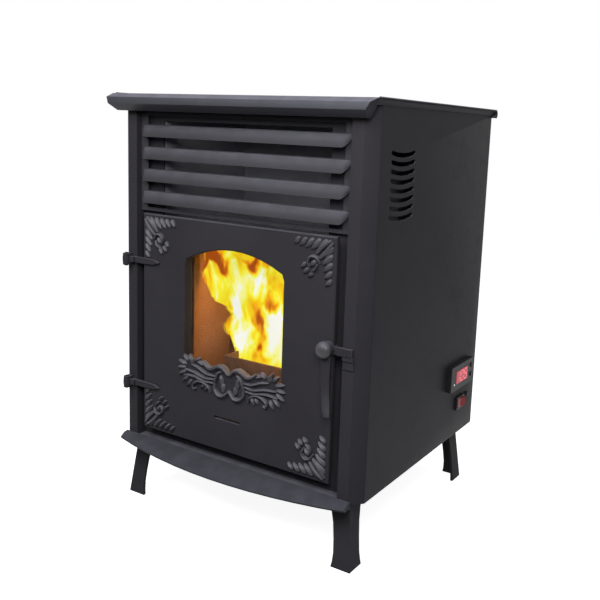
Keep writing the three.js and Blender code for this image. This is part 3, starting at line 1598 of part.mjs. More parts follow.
function buildAirPath() {
  const rear = backPanelY + casingSheet;
  const flueStart = exhaustY + exhaustRadius + 4 + seat;
  piece(
    "flue_collar",
    pipe("y", flueRadius, pipeWall, flueStart, bodyDepth + flueReach, flueX, bottom + flueHeight, 24),
    galvanised,
  );
  piece(
    "air_inlet_pipe",
    pipe("y", airPipeRadius, pipeWall, fireboxBack + seat, rear + airPipeReach, 0, bottom + airPipeHeight, 24),
    galvanised,
  );
  piece("exhaust_duct", exhaustDuct(), galvanised);
  piece("exhaust_blower_housing", exhaustHousing(), iron);
  const exhaustShaft = exhaustX[0] - shaftIntoMotor;
  piece(
    "exhaust_wheel",
    bladeWheel(exhaustX[0] + wheelGap, exhaustWheelWidth, exhaustRadius - wheelGap, exhaustY, exhaustZ, 10, exhaustShaft),
    steel,
  );
  piece(
    "exhaust_motor",
    blowerMotor(exhaustX[0] - seat, exhaustX[0] - motorLength, exhaustShaft - 1, exhaustY, exhaustZ),
    motorBlack,
  );
  piece("fan_housing", fanHousing(), galvanised);
  const fanShaft = fanSpan[1] + shaftIntoMotor;
  piece(
    "fan_wheel",
    bladeWheel(fanSpan[0] + wheelGap, fanWheelWidth, fanRadius - wheelGap - 1, fanY, fanZ, 14, fanShaft),
    steel,
  );
  piece("fan_motor", blowerMotor(fanSpan[1] + seat, fanSpan[1] + motorLength, fanShaft + 1, fanY, fanZ), motorBlack);
  piece("convection_duct", convectionDuct(), galvanised);
}

function buildControls() {
  piece("control_box", controlBox(), blackPlastic);
  piece("display_window", displayWindow(), redDisplay);
  Object.entries(buttonZs).forEach(([name, z]) => piece(name, button(z), blackPlastic));
  piece("rocker_frame", rockerFrame(), blackPlastic);
  piece("power_rocker", powerRocker(), redPlastic);
  piece("fuse_cap", fuseCap(), blackPlastic);
  piece("power_inlet", powerInlet(), blackPlastic);
}

buildCasing();
buildHopper();
buildDoor();
buildHandle();
augerAssembly();
buildFirebox();
buildAirPath();
buildControls();

// The origin is on the floor under the middle of the whole stove, buttons, ledge and flue included.
stove.position.x = -(panelFace + buttonProud - half - topOverhang) / 2;
stove.position.y = -(bodyDepth + flueReach - ledgeMiddleReach) / 2;

export default stove;
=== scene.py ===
"""Looks for the pellet stove: paint, castings, fire and small parts, and the studio round it."""
import json
import logging
import math
from dataclasses import dataclass, field
from enum import Enum

import bmesh
import bpy
from mathutils import Matrix, Vector, noise


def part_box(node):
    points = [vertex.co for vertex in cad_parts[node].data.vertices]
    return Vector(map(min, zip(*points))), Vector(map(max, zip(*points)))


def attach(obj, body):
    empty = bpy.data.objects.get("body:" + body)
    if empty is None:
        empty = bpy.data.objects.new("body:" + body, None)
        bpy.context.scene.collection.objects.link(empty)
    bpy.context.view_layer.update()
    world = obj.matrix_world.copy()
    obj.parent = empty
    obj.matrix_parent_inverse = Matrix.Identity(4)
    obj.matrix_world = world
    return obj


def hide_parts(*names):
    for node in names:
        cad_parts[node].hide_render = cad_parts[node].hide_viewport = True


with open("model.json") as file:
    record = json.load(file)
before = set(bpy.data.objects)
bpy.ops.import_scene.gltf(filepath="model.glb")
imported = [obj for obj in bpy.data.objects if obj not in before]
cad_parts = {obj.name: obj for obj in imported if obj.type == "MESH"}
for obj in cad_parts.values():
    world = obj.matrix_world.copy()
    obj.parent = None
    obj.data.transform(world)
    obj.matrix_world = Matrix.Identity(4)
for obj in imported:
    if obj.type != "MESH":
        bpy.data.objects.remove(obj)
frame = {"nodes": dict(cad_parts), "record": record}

LOG = logging.getLogger("pellet_stove")
MM = 0.001
Colour = tuple[float, float, float]
Place = tuple[float, float, float]
Point = tuple[float, float]
Tree = bpy.types.NodeTree
Socket = bpy.types.NodeSocket
Outputs = bpy.types.bpy_prop_collection

WELD = 0.000002  # how near two points are before they become one
FLAT = math.radians(0.6)  # faces that turn less than this are one face
SOFT_EDGE = math.radians(28)  # edges that turn more than this get a soft bevel
FOLD_LENGTH = 0.15  # the shortest fold of a sheet that is rounded
FOLD_TURN = (math.radians(12), math.radians(100))  # how far a sheet turns at a fold
CUT_EDGE = 1.6  # a face narrower than this many sheets is a sheet's cut edge
WHITE = (1.0, 1.0, 1.0, 1.0)


class Slot(Enum):
    """The material slots of the record."""

    CASING_PAINT = "casing_paint"
    CAST_BLACK = "cast_black"
    BARE_STEEL = "bare_steel"
    GALVANISED = "galvanised"
    FIRED_STEEL = "fired_steel"
    BRICK = "brick"
    ROPE = "rope"
    FIRE_GLASS = "fire_glass"
    MOTOR_BLACK = "motor_black"
    BLACK_PLASTIC = "black_plastic"
    RED_PLASTIC = "red_plastic"
    RED_DISPLAY = "red_display"


class Look(Enum):
    """Finishes that only the looks have: lit and burning ones, copies of a slot's coat with painted light or
    shade in their colour, and other states of a slot's coat or metal.
    """

    LIT_RAISED_CASTING = "raised_casting_painted_highlight"
    SMOKED_STEEL = "smoked_steel"
    LIT_TOP_PAINT = "top_paint_painted_light"
    DUCT_PRIMER = "duct_primer"
    LIT_LOUVRE_PAINT = "louvre_paint_painted_light"
    SHADED_LEDGE_PAINT = "ledge_paint_painted_shade"
    FLAME = "flame"
    EMBERS = "embers"
    DIGITS = "display_digits"
    LAMP = "signal_lamp"


# ---------------------------------------------------------------- places


@dataclass(frozen=True)
class Datum:
    """Places on the stove's drawing, in millimetres, as points of the shared frame.

    The drawing has x from the middle of the casing, y from its front face and up from its base.
    """

    middle: float
    front: float
    base: float

    @classmethod
    def from_frame(cls) -> "Datum":
        """Reads the casing's place from its two side panels."""
        left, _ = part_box("left_side_panel")
        _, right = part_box("right_side_panel")
        return cls((left[0] + right[0]) / 2, left[1], left[2])

    def at(self, x: float, y: float, up: float) -> Vector:
        """Gives a drawing place in metres of the shared frame.

        Args:
            x: Millimetres to the right of the middle.
            y: Millimetres behind the front face.
            up: Millimetres above the casing's base.

        Returns:
            The point in metres.
        """
        return Vector((self.middle + x * MM, self.front + y * MM, self.base + up * MM))


def stand(name: str, data: bpy.types.ID, matrix: Matrix | None = None) -> bpy.types.Object:
    """Puts a mesh, lamp or camera into the scene.

    Args:
        name: The new object's name.
        data: What the object shows.
        matrix: Where it stands, or none for the origin.

    Returns:
        The object.
    """
    made = bpy.data.objects.new(name, data)
    if matrix:
        made.matrix_world = matrix
    bpy.context.scene.collection.objects.link(made)
    return made


# ---------------------------------------------------------------- node trees


class Graph:
    """Adds nodes to one node tree and joins their sockets."""

    def __init__(self, tree: Tree) -> None:
        """Keeps the tree that the nodes go into."""
        self.tree = tree

    def add(self, kind: str, inputs: dict | None = None, **settings: object) -> bpy.types.Node:
        """Adds a node, sets its properties, and fills or links its inputs.

        Args:
            kind: The node's type name.
            inputs: Input sockets by name or number, each with a value or the socket that feeds it.
            **settings: Properties of the node.

        Returns:
            The new node.
        """
        node = self.tree.nodes.new(kind)
        for name, value in settings.items():
            setattr(node, name, value)
        for name, value in (inputs or {}).items():
            if isinstance(value, Socket):
                self.tree.links.new(value, node.inputs[name])
            else:
                node.inputs[name].default_value = value
        return node

    def place(self, group: Tree, vector: Socket, **values: object) -> Outputs:
        """Places a node group with its own values.

        Args:
            group: The group's tree.
            vector: The coordinates that it works on.
            **values: Values or sockets for the group's other inputs.

        Returns:
            The group node's outputs.
        """
        return self.add("ShaderNodeGroup", {"Vector": vector, **values}, node_tree=group).outputs

    def mapping(self, vector: Socket, **values: object) -> Socket:
        """Moves, turns or stretches coordinates."""
        return self.add("ShaderNodeMapping", {"Vector": vector, **values}).outputs["Vector"]

    def coords(self, centre: Vector | None = None) -> Socket:
        """Gives the piece's Object coordinates, measured from a centre.

        Args:
            centre: The point that becomes the origin of the pattern, or none for the frame's own.

        Returns:
            The mapped vector.
        """
        source = self.add("ShaderNodeTexCoord").outputs["Object"]
        return self.mapping(source, Location=-centre if centre else Vector((0.0, 0.0, 0.0)))

    def axis(self, vector: Socket, name: str) -> Socket:
        """Gives one of a vector's three numbers."""
        return self.add("ShaderNodeSeparateXYZ", {0: vector}).outputs[name]

    def facing(self, name: str) -> Socket:
        """Gives how far the surface faces along an axis."""
        return self.axis(self.add("ShaderNodeNewGeometry").outputs["Normal"], name)

    def noise(self, vector: Socket, scale: object, detail: float = 3.0, distortion: float = 0.0) -> Socket:
        """Adds a noise texture.

        Args:
            vector: The coordinates.
            scale: The texture's scale, as a number or a socket.
            detail: How many finer layers it has.
            distortion: How far the pattern is pulled about.

        Returns:
            The noise value, about 0.5 on average.
        """
        values = {"Vector": vector, "Scale": scale, "Detail": detail, "Distortion": distortion}
        return self.add("ShaderNodeTexNoise", values).outputs["Fac"]

    def spread(
        self, value: Socket, low: object, high: object, to_low: object = 0.0, to_high: object = 1.0
    ) -> Socket:
        """Maps a range of values onto another and clamps them.

        Args:
            value: The value to map.
            low: Where the range starts.
            high: Where it ends.
            to_low: What the start becomes.
            to_high: What the end becomes.

        Returns:
            The mapped value.
        """
        values = {"Value": value, "From Min": low, "From Max": high, "To Min": to_low, "To Max": to_high}
        return self.add("ShaderNodeMapRange", values).outputs["Result"]

    def maths(self, operation: str, first: object, second: object = 0.0) -> Socket:
        """Adds a Math node and gives its value."""
        return self.add("ShaderNodeMath", {0: first, 1: second}, operation=operation).outputs[0]

    def vector_maths(self, operation: str, first: object, second: object) -> Socket:
        """Adds a Vector Math node and gives its vector."""
        return self.add("ShaderNodeVectorMath", {0: first, 1: second}, operation=operation).outputs[0]

    def mix(self, factor: object, first: object, second: object) -> Socket:
        """Mixes two colours.

        Args:
            factor: How much of the second colour shows.
            first: A colour or the socket that gives it.
            second: A colour or the socket that gives it.

        Returns:
            The mixed colour.
        """
        values = {0: factor, 6: self.solid(first), 7: self.solid(second)}
        return self.add("ShaderNodeMix", values, data_type="RGBA").outputs[2]

    def ramp(self, factor: Socket, stops: list[tuple[float, Colour]]) -> Socket:
        """Adds a colour ramp.

        Args:
            factor: The value that the ramp reads.
            stops: Positions with their colours, from low to high.

        Returns:
            The ramp's colour.
        """
        node = self.add("ShaderNodeValToRGB", {"Fac": factor})
        elements = node.color_ramp.elements
        while len(elements) < len(stops):
            elements.new(0.5)
        for element, (position, colour) in zip(elements, stops):
            element.position = position
            element.color = (*colour, 1.0)
        return node.outputs["Color"]

    def bump(self, height: Socket, distance: float) -> Socket:
        """Adds a Bump node over a height and gives its normal."""
        values = {"Height": height, "Distance": distance, "Strength": 1.0}
        return self.add("ShaderNodeBump", values).outputs["Normal"]

    @staticmethod
    def solid(colour: object) -> object:
        """Gives a colour its fourth number where it is written with three."""
        return (*colour, 1.0) if isinstance(colour, tuple) and len(colour) == 3 else colour


def empty_graph(owner: bpy.types.ID) -> Graph:
    """Gives a material or world an empty node tree.

    Args:
        owner: The material or world.

    Returns:
        The tree's graph.
    """
    owner.use_nodes = True
    owner.node_tree.nodes.clear()
    return Graph(owner.node_tree)


class Effects:
    """The node groups that several finishes share, each built once."""

    def __init__(self) -> None:
        """Builds every group."""
        self.grain = self.build_grain()
        self.drift = self.build_drift()
        self.dust_and_top_light = self.build_dust_and_top_light()
        self.strokes = self.build_strokes()
        self.soot = self.build_soot()
        self.lobe = self.build_lobe()

    @staticmethod
    def start(name: str, **values: float) -> tuple[Graph, Outputs]:
        """Starts a group that has a Vector input and number inputs.

        Args:
            name: The group's name.
            **values: Number inputs with their usual values.

        Returns:
            The group's graph, and what comes in by its inputs.
        """
        tree = bpy.data.node_groups.new(name, "ShaderNodeTree")
        tree.interface.new_socket(name="Vector", in_out="INPUT", socket_type="NodeSocketVector")
        for label, value in values.items():
            socket = tree.interface.new_socket(name=label, in_out="INPUT", socket_type="NodeSocketFloat")
            socket.default_value = value
        graph = Graph(tree)
        return graph, graph.add("NodeGroupInput").outputs

    @staticmethod
    def end(graph: Graph, **results: Socket) -> Tree:
        """Gives a group its number outputs.

        Args:
            graph: The group's graph.
            **results: The outputs with the sockets that feed them.

        Returns:
            The finished group.
        """
        for label in results:
            graph.tree.interface.new_socket(name=label, in_out="OUTPUT", socket_type="NodeSocketFloat")
        graph.add("NodeGroupOutput", results)
        return graph.tree

    def build_grain(self) -> Tree:
        """Builds the fine skin of a coating or casting: a soft peel with a sharper grain on it."""
        graph, given = self.start("surface_grain", Scale=900.0, Sharpness=0.35)
        peel = graph.noise(given["Vector"], graph.maths("MULTIPLY", given["Scale"], 0.3), 1.0)
        fine = graph.noise(given["Vector"], given["Scale"], 4.0)
        sharp = graph.maths("MULTIPLY", fine, given["Sharpness"])
        return self.end(graph, Height=graph.maths("ADD", peel, sharp))

    def build_drift(self) -> Tree:
        """Builds slow changes of tone over a surface, with a few faint wiped smears in them."""
        graph, given = self.start("tone_drift", Scale=7.0)
        slow = graph.noise(given["Vector"], given["Scale"], 3.0, 0.4)
        smear = graph.noise(given["Vector"], graph.maths("MULTIPLY", given["Scale"], 4.3), 5.0, 1.6)
        return self.end(graph, Tone=graph.spread(slow, 0.32, 0.68), Smear=graph.spread(smear, 0.5, 0.72))

    def build_dust_and_top_light(self) -> Tree:
        """Builds the film of dust that settles on faces that look upwards, which also lightens them as
        painted light from above.
        """
        graph, given = self.start("dust_and_painted_top_light", Amount=0.3)
        flat = graph.spread(graph.facing("Z"), 0.1, 0.95)
        patches = graph.spread(graph.noise(given["Vector"], 38.0, 6.0), 0.38, 0.7, 0.6, 1.0)
        settled_and_lit = graph.maths("MULTIPLY", flat, patches)
        return self.end(graph, Mask=graph.maths("MULTIPLY", settled_and_lit, given["Amount"]))

    def build_strokes(self) -> Tree:
        """Builds the long fine lines of rolled or brushed metal, along the vector's X axis."""
        graph, given = self.start("rolling_lines", Scale=60.0)
        stretched = graph.vector_maths("MULTIPLY", given["Vector"], (0.04, 1.0, 1.0))
        scale = graph.maths("MULTIPLY", given["Scale"], 14.0)
        return self.end(graph, Height=graph.noise(stretched, scale, 4.0))

    def build_soot(self) -> Tree:
        """Builds the soot that gathers towards the top of the fire chamber, in ragged tongues."""
        graph, given = self.start("soot_film", Low=0.2, High=0.5)
        ragged = graph.spread(graph.noise(given["Vector"], 16.0, 6.0, 0.8), 0.3, 0.7, -0.07, 0.07)
        level = graph.maths("ADD", graph.axis(given["Vector"], "Z"), ragged)
        return self.end(graph, Mask=graph.spread(level, given["Low"], given["High"]))

    def build_lobe(self) -> Tree:
        """Builds one soft oval in the X-Z plane, for a hotter or cooler part of a flame."""
        graph, given = self.start("flame_lobe", X=0.0, Z=0.0, Width=0.02, Height=0.05, Gain=0.3)
        squares = []
        for axis, size in (("X", "Width"), ("Z", "Height")):
            away = graph.maths("SUBTRACT", graph.axis(given["Vector"], axis), given[axis])
            share = graph.maths("DIVIDE", away, given[size])
            squares.append(graph.maths("MULTIPLY", share, share))
        reach = graph.maths("SQRT", graph.maths("ADD", *squares))
        body = graph.spread(reach, 0.25, 1.0, 1.0, 0.0)
        return self.end(graph, Value=graph.maths("MULTIPLY", body, given["Gain"]))


# ---------------------------------------------------------------- finishes


@dataclass(frozen=True)
class Finish:
    """A finish of the stove, which builds its own Blender material."""

    name: str

    def build(self, effects: Effects) -> bpy.types.Material:
        """Builds the material round a Principled shader.

        Args:
            effects: The shared node groups.

        Returns:
            The material.
        """
        made = bpy.data.materials.new(self.name)
        graph = empty_graph(made)
        shader = graph.add("ShaderNodeBsdfPrincipled", self.shade(graph, effects))
        graph.add("ShaderNodeOutputMaterial", {"Surface": shader.outputs["BSDF"]})
        return made

    def shade(self, graph: Graph, effects: Effects) -> dict:
        """Works out what goes into the shader.

        Args:
            graph: The material's graph.
            effects: The shared node groups.

        Returns:
            Values or sockets for the shader's inputs.
        """
        raise NotImplementedError


@dataclass(frozen=True)
class CoatedMetal(Finish):
    """Paint or a blackened casting skin over metal: two close tones, a grain, and settled dust that also
    lightens upward faces as painted light from above.

    Faces that look left and right can be darkened towards a near-black as painted shade, as far as its side
    shade value asks.
    """

    dark: Colour
    light: Colour
    roughness: float = 0.42
    grain: float = 900.0
    grain_depth: float = 0.00006
    sharpness: float = 0.35
    dust_and_top_light: float = 0.42
    specular: float = 0.03
    painted_side_shade: float = 0.0
    dust_and_top_light_colour: Colour = (0.25, 0.248, 0.30)
    side_shade_colour: Colour = (0.004, 0.004, 0.005)

    def shade(self, graph: Graph, effects: Effects) -> dict:
        """Shades the coat.

        Args:
            graph: The material's graph.
            effects: The shared node groups.

        Returns:
            Values or sockets for the shader's inputs.
        """
        vector = graph.coords()
        drift = graph.place(effects.drift, vector, Scale=7.0)
        # The dust mask lightens faces that look upwards: real dust, and painted light from above as well.
        dust_and_top_light = graph.place(effects.dust_and_top_light, vector, Amount=self.dust_and_top_light)["Mask"]
        colour = graph.mix(dust_and_top_light, graph.mix(drift["Tone"], self.dark, self.light), self.dust_and_top_light_colour)
        # Painted shade: faces that look left or right are darkened towards a near-black colour.
        if self.painted_side_shade:
            side_shade_mask = graph.spread(graph.maths("ABSOLUTE", graph.facing("X")), 0.8, 0.97, 0.0, self.painted_side_shade)
            colour = graph.mix(side_shade_mask, colour, self.side_shade_colour)
        smear = graph.spread(drift["Smear"], 0.0, 1.0, self.roughness, self.roughness + 0.06)
        skin = graph.place(effects.grain, vector, Scale=self.grain, Sharpness=self.sharpness)["Height"]
        return {
            "Base Color": colour,
            "Roughness": graph.maths("ADD", smear, graph.maths("MULTIPLY", dust_and_top_light, 0.5)),
            "Specular IOR Level": self.specular,
            "Normal": graph.bump(skin, self.grain_depth),
        }


@dataclass(frozen=True)
class BareMetal(Finish):
    """Uncoated metal with rolling lines and stains; zinc shows its crystals as well."""

    dark: Colour
    light: Colour
    roughness: float = 0.3
    crystals: float = 0.0
    crystal_colour: Colour = (0.72, 0.74, 0.76)

    def shade(self, graph: Graph, effects: Effects) -> dict:
        """Shades the bare metal.

        Args:
            graph: The material's graph.
            effects: The shared node groups.

        Returns:
            Values or sockets for the shader's inputs.
        """
        vector = graph.coords()
        drift = graph.place(effects.drift, vector, Scale=11.0)
        tone = graph.mix(drift["Tone"], self.dark, self.light)
        if self.crystals:
            values = {"Vector": vector, "Scale": self.crystals, "Randomness": 1.0}
            shade = graph.axis(graph.add("ShaderNodeTexVoronoi", values).outputs["Color"], "X")
            tone = graph.mix(graph.spread(shade, 0.0, 1.0, 0.0, 0.4), tone, self.crystal_colour)
        lines = graph.place(effects.strokes, vector, Scale=60.0)["Height"]
        wiped = graph.spread(drift["Smear"], 0.0, 1.0, self.roughness, self.roughness + 0.2)
        return {
            "Base Color": tone,
            "Roughness": graph.maths("ADD", wiped, graph.spread(lines, 0.3, 0.7, -0.05, 0.08)),
            "Metallic": 0.9,
            "Normal": graph.bump(lines, 0.00003),
        }


@dataclass(frozen=True)
class FiredSurface(Finish):
    """Steel or board inside the fire chamber: heat stains below, soot above, and a scaly skin."""

    clean: Colour
    stained: Colour
    soot_low: float
    soot_high: float
    roughness: float = 0.75
    blots: float = 0.7
    blot_colour: Colour = (0.09, 0.06, 0.045)
    soot_colour: Colour = (0.02, 0.017, 0.015)
    soot_cover: float = 0.8
    specular: float = 0.25

    def shade(self, graph: Graph, effects: Effects) -> dict:
        """Shades the fired surface.

        Args:
            graph: The material's graph.
            effects: The shared node groups.

        Returns:
            Values or sockets for the shader's inputs.
        """
        vector = graph.coords()
        drift = graph.place(effects.drift, vector, Scale=6.0)
        tone = graph.mix(drift["Tone"], self.clean, self.stained)
        blots = graph.mix(graph.maths("MULTIPLY", drift["Smear"], self.blots), tone, self.blot_colour)
        soot = graph.place(effects.soot, vector, Low=self.soot_low, High=self.soot_high)["Mask"]
        skin = graph.place(effects.grain, vector, Scale=420.0, Sharpness=0.8)["Height"]
        return {
            "Base Color": graph.mix(graph.maths("MULTIPLY", soot, self.soot_cover), blots, self.soot_colour),
            "Roughness": self.roughness,
            "Specular IOR Level": self.specular,
            "Normal": graph.bump(skin, 0.0003),
        }


@dataclass(frozen=True)
class WovenRope(Finish):
    """Braided glass rope: crossing diagonal strands, dusted with soot."""

    dark: Colour
    light: Colour
    strand: float = 420.0

    def shade(self, graph: Graph, effects: Effects) -> dict:
        """Shades the rope.

        Args:
            graph: The material's graph.
            effects: The shared node groups.

        Returns:
            Values or sockets for the shader's inputs.
        """
        vector = graph.coords()
        bands = []
        for lean in (1.0, -1.0):
            turned = graph.mapping(vector, Rotation=(0.0, lean * math.pi / 4, 0.0))
            values = {"Vector": turned, "Scale": self.strand / 6.3, "Distortion": 0.6}
            bands.append(graph.add("ShaderNodeTexWave", values).outputs["Fac"])
        weave = graph.maths("MAXIMUM", *bands)
        shade = graph.maths("MULTIPLY", weave, graph.place(effects.drift, vector, Scale=20.0)["Tone"])
        return {
            "Base Color": graph.mix(shade, self.dark, self.light),
            "Roughness": graph.spread(weave, 0.0, 1.0, 0.95, 0.8),
            "Normal": graph.bump(weave, 0.0008),
        }


@dataclass(frozen=True)
class FireGlass(Finish):
    """Clear ceramic glass with a thin, cloudy smoke film."""

    tint: Colour = (0.05, 0.03, 0.02)
    film: float = 0.10
    specular: float = 0.2

    def shade(self, graph: Graph, effects: Effects) -> dict:
        """Shades the glass.

        Args:
            graph: The material's graph.
            effects: The shared node groups.

        Returns:
            Values or sockets for the shader's inputs.
        """
        vector = graph.coords()
        haze = graph.noise(vector, 9.0, 5.0, 0.8)
        streaks = graph.noise(vector, 45.0, 5.0, 0.3)
        return {
            "Base Color": (*self.tint, 1.0),
            "Alpha": graph.spread(haze, 0.35, 0.75, self.film, self.film + 0.1),
            "Specular IOR Level": self.specular,
            "Roughness": graph.spread(streaks, 0.4, 0.75, 0.03, 0.16),
        }


@dataclass(frozen=True)
class MouldedPlastic(Finish):
    """Moulded plastic with a spark-eroded grain and finger marks."""

    dark: Colour
    light: Colour
    roughness: float = 0.45
    grain_depth: float = 0.00004
    specular: float = 0.12

    def shade(self, graph: Graph, effects: Effects) -> dict:
        """Shades the plastic.

        Args:
            graph: The material's graph.
            effects: The shared node groups.

        Returns:
            Values or sockets for the shader's inputs.
        """
        vector = graph.coords()
        drift = graph.place(effects.drift, vector, Scale=30.0)
        skin = graph.place(effects.grain, vector, Scale=2600.0, Sharpness=0.9)["Height"]
        return {
            "Base Color": graph.mix(drift["Tone"], self.dark, self.light),
            "Roughness": graph.spread(drift["Smear"], 0.0, 1.0, self.roughness, self.roughness - 0.12),
            "Specular IOR Level": self.specular,
            "Normal": graph.bump(skin, self.grain_depth),
        }


@dataclass(frozen=True)
class Flame(Finish):
    """Burning gas: amber folds round white-hot streams, with a crisp edge at the sides of its sheet.

    A lobe is a hotter or cooler part of the fire, as (x, up, half width, half height, gain) in millimetres.
    """

    datum: Datum
    depth: float = 100.0
    strength: float = 1.15
    lobes: tuple[tuple[float, float, float, float, float], ...] = (
        (-62.0, 258.0, 24.0, 56.0, 0.46), (-50.0, 178.0, 26.0, 40.0, 0.34),
        (24.0, 215.0, 24.0, 72.0, 0.46), (-6.0, 300.0, 19.0, 48.0, 0.34),
        (-32.0, 205.0, 34.0, 34.0, 0.14), (-9.0, 226.0, 14.0, 28.0, -0.5),
        (-8.0, 184.0, 12.0, 24.0, -0.42), (18.0, 268.0, 15.0, 20.0, -0.46),
        (-108.0, 326.0, 34.0, 18.0, -0.42), (-20.0, 338.0, 32.0, 15.0, -0.46),
        (-140.0, 326.0, 38.0, 17.0, -0.75), (56.0, 290.0, 22.0, 52.0, -0.3),
    )
    stops: tuple[tuple[float, Colour], ...] = (
        (0.06, (0.40, 0.075, 0.003)),
        (0.20, (0.62, 0.14, 0.004)),
        (0.34, (0.95, 0.36, 0.006)),
        (0.47, (1.0, 0.66, 0.008)),
        (0.62, (1.0, 0.92, 0.03)),
        (0.78, (1.0, 1.0, 0.34)),
        (0.94, (1.0, 1.0, 0.92)),
    )

    def shade(self, graph: Graph, effects: Effects) -> dict:
        """Shades the flame.

        Args:
            graph: The material's graph.
            effects: The shared node groups.

        Returns:
            Values or sockets for the shader's inputs.
        """
        vector = graph.coords(self.datum.at(0.0, self.depth, 0.0))
        tall = graph.mapping(vector, Scale=(1.0, 0.6, 0.52))
        values = {"Vector": tall, "Scale": 26.0, "Detail": 3.0}
        swirl = graph.add("ShaderNodeTexNoise", values).outputs["Color"]
        pull = graph.vector_maths("SUBTRACT", swirl, (0.5, 0.5, 0.5))
        pull = graph.vector_maths("MULTIPLY", pull, (0.07, 0.0, 0.12))
        bent = graph.vector_maths("ADD", vector, pull)
        heat = graph.spread(graph.noise(tall, 28.0, 3.0, 1.5), 0.25, 0.75, 0.22, 0.86)
        for x, up, width, height, gain in self.lobes:
            size = {"Width": width * MM, "Height": height * MM}
            lobe = graph.place(effects.lobe, bent, X=x * MM, Z=up * MM, Gain=gain, **size)
            heat = graph.maths("ADD", heat, lobe["Value"])
        uv = graph.add("ShaderNodeTexCoord").outputs["UV"]
        across = graph.axis(uv, "X")
        wisps = graph.spread(graph.noise(tall, 90.0, 3.0, 0.6), 0.3, 0.7, -0.03, 0.03)
        inner = graph.maths("MINIMUM", across, graph.maths("SUBTRACT", 1.0, across))
        rim = graph.maths("ADD", inner, wisps)
        tip = graph.spread(graph.maths("ADD", graph.axis(uv, "Y"), wisps), 0.9, 1.0, 0.0, 0.1)
        return {
            "Base Color": (0.0, 0.0, 0.0, 1.0),
            "Roughness": 1.0,
            "Specular IOR Level": 0.0,
            "Emission Color": graph.ramp(heat, self.stops),
            "Emission Strength": self.strength,
            "Alpha": graph.spread(graph.maths("SUBTRACT", rim, tip), 0.0, 0.035),
        }


@dataclass(frozen=True)
class Embers(Finish):
    """Burning pellets: glowing cracks between charred skins."""

    char: Colour = (0.03, 0.02, 0.015)
    warm: Colour = (0.2, 0.08, 0.03)
    strength: float = 1.4
    stops: tuple[tuple[float, Colour], ...] = (
        (0.0, (0.06, 0.008, 0.0)),
        (0.45, (0.9, 0.16, 0.01)),
        (1.0, (1.0, 0.7, 0.15)),
    )

    def shade(self, graph: Graph, effects: Effects) -> dict:
        """Shades the embers.

        Args:
            graph: The material's graph.
            effects: The shared node groups.

        Returns:
            Values or sockets for the shader's inputs.
        """
        vector = graph.coords()
        glow = graph.spread(graph.noise(vector, 90.0, 5.0, 0.6), 0.36, 0.66)
        skin = graph.place(effects.grain, vector, Scale=500.0, Sharpness=0.9)["Height"]
        return {
            "Base Color": graph.mix(glow, self.char, self.warm),
            "Roughness": 0.9,
            "Emission Color": graph.ramp(glow, self.stops),
            "Emission Strength": self.strength,
            "Normal": graph.bump(skin, 0.0004),
        }


@dataclass(frozen=True)
class Signal(Finish):
    """A lit segment or lamp, a little uneven in its brightness."""

    colour: Colour
    strength: float = 1.2
    dimmest: float = 0.72

    def shade(self, graph: Graph, effects: Effects) -> dict:
        """Shades the lit surface.

        Args:
            graph: The material's graph.
            effects: The shared node groups.

        Returns:
            Values or sockets for the shader's inputs.
        """
        flicker = graph.spread(graph.noise(graph.coords(), 260.0, 2.0), 0.3, 0.7)
        lit = graph.mix(flicker, tuple(part * self.dimmest for part in self.colour), self.colour)
        return {
            "Base Color": lit,
            "Roughness": 0.35,
            "Emission Color": lit,
            "Emission Strength": self.strength,
        }


# ---------------------------------------------------------------- meshes


def smooth_path(points: list[Point], per_span: int = 5) -> list[Point]:
    """Runs a Catmull-Rom curve through flat points.

    Args:
        points: The points that the curve passes through.
        per_span: How many steps lie between two points.

    Returns:
        The points along the curve.
    """
    first = (2 * points[0][0] - points[1][0], 2 * points[0][1] - points[1][1])
    last = (2 * points[-1][0] - points[-2][0], 2 * points[-1][1] - points[-2][1])
    line = [first, *points, last]
    found = []
    for a, b, c, d in zip(line, line[1:], line[2:], line[3:]):
        for step in range(per_span):
            t = step / per_span
            found.append(
                tuple(
                    0.5 * (2 * b[i] + (c[i] - a[i]) * t + (2 * a[i] - 5 * b[i] + 4 * c[i] - d[i]) * t**2
                           + (3 * b[i] - a[i] - 3 * c[i] + d[i]) * t**3)
                    for i in (0, 1)
                )
            )
    return [*found, points[-1]]


